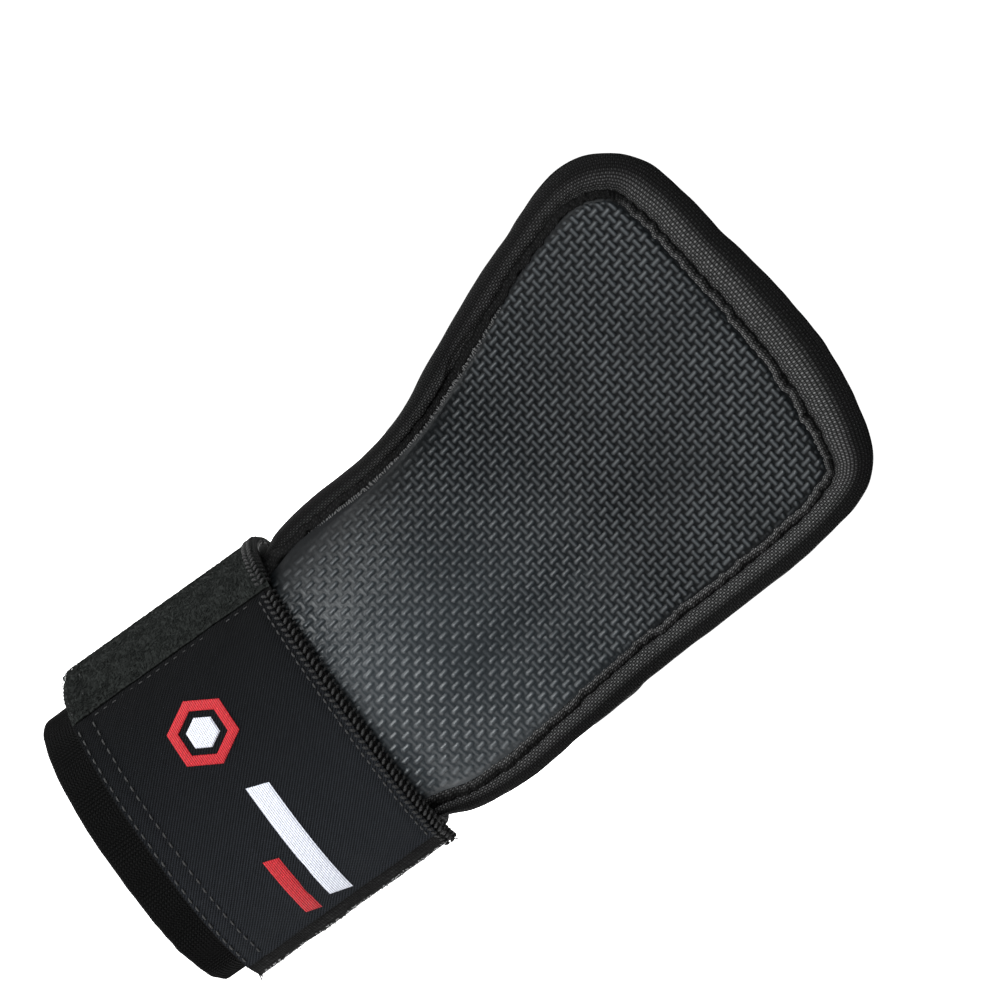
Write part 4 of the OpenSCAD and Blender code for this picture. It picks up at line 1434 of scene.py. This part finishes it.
for build, low_nodes, high_nodes in (
    (rubber_face, ["heel_rubber", "heel_flex", "palm_rubber"], ["curl_flex", "finger_rubber"]),
    (foam_core, ["heel_foam", "palm_foam"], ["finger_foam"]),
    (lining_sheet, ["heel_lining", "palm_lining"], ["finger_lining"]),
    (rolled_rim, ["heel_rim", "palm_rim"], ["finger_rim"]),
    (seam_ridge, ["palm_ridge"], ["finger_ridge"]),
    (seam_thread, [], []),
):
    build("low", HEEL_FOLD, *low_nodes)
    build("high", TIP_CURL, *high_nodes)
elastic_sleeve()
sleeve_tape()
plush_strap("plush_strap_back", ANCHOR_FROM, THUMB_SIDE, BAND_SWING, "band_anchor", "thumb_band")
plush_strap("plush_strap_front", THUMB_SIDE, PEEL_AT - 0.4, TAB_PEEL)
strap_pile("strap_pile_back", ANCHOR_TO, THUMB_SIDE, BAND_SWING)
strap_pile("strap_pile_front", THUMB_SIDE, PEEL_AT - 1, TAB_PEEL)
landing_plush()
tab_pieces()
folded_hem()
frayed_ends()
strap_sewing()
other_sewing()
raised_ring()
raised_bar("red_bar", RED_BAR, RED_YARN, "red_yarn")
raised_bar("white_bar", WHITE_BAR, WHITE_YARN, "white_yarn", "mark_white")
raised_hexagon()

# ---- camera, light, floor

EYE, LENS, ROLL = (-0.0164, -0.3583, 0.0821), 58.04, math.radians(54.5)
FLOOR_HALF = 3.0


def camera():
    data = bpy.data.cameras.new("camera")
    data.sensor_width = 36
    data.lens = LENS
    data.clip_start, data.clip_end = 0.01, 20
    eye = add_object("camera", data)
    right = Vector((math.cos(ROLL), 0, math.sin(ROLL)))
    up = Vector((-math.sin(ROLL), 0, math.cos(ROLL)))
    pose = Matrix((right, up, Vector((0, -1, 0)))).transposed().to_4x4()
    pose.translation = Vector(EYE)
    eye.matrix_world = pose
    bpy.context.scene.camera = eye


def lamp(name, kind, power, size, location, target, tint=(1, 1, 1)):
    """A light aimed at a target; size is an area's side in metres or a sun's angle in radians."""
    data = bpy.data.lights.new(name, kind)
    setattr(data, {"AREA": "size", "SUN": "angle"}[kind], size)
    data.energy, data.color = power, tint
    obj = add_object(name, data)
    obj.location = location
    aim = Vector(target) - Vector(location)
    obj.rotation_euler = aim.to_track_quat("-Z", "Y").to_euler()


def studio():
    """Lights, and a world that the camera sees as white but that lights the part only softly."""
    centre = (-0.014, 0, 0.06)
    lamp("key", "AREA", 8, 0.16, (-0.62, -0.72, 0.04), centre, (0.96, 0.99, 1.0))
    lamp("rear", "AREA", 11, 0.5, (0.45, 0.95, 0.45), centre)
    lamp("overhead", "SUN", 0.7, math.radians(60), (0, 0, 0), (0.15, 0.2, -1))
    world = bpy.data.worlds.new("studio")
    world.use_nodes = True
    tree = world.node_tree
    background = tree.nodes["Background"]
    path = tree.nodes.new("ShaderNodeLightPath")
    strength = tree.nodes.new("ShaderNodeMath")
    strength.operation = "MULTIPLY_ADD"
    strength.inputs[1].default_value = 1.0
    strength.inputs[2].default_value = 0.1
    tree.links.new(path.outputs["Is Camera Ray"], strength.inputs[0])
    tree.links.new(strength.outputs[0], background.inputs["Strength"])
    background.inputs["Color"].default_value = (1, 1, 1, 1)
    bpy.context.scene.world = world
    bpy.context.scene.view_settings.view_transform = "Standard"


def floor(level):
    mesh = bpy.data.meshes.new("floor")
    signs = ((-1, -1), (1, -1), (1, 1), (-1, 1))
    corners = [(x * FLOOR_HALF, y * FLOOR_HALF, level) for x, y in signs]
    mesh.from_pydata(corners, [], [(0, 1, 2, 3)])
    paper = bpy.data.materials.new("floor")
    paper.use_nodes = True
    surface = paper.node_tree.nodes["Principled BSDF"].inputs
    surface["Base Color"].default_value = (0.9, 0.9, 0.9, 1)
    surface["Roughness"].default_value = 0.9
    surface["Emission Color"].default_value = (1, 1, 1, 1)
    surface["Emission Strength"].default_value = 2.0
    mesh.materials.append(paper)
    add_object("floor", mesh)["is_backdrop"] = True


camera()
studio()
floor(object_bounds()[0].z)
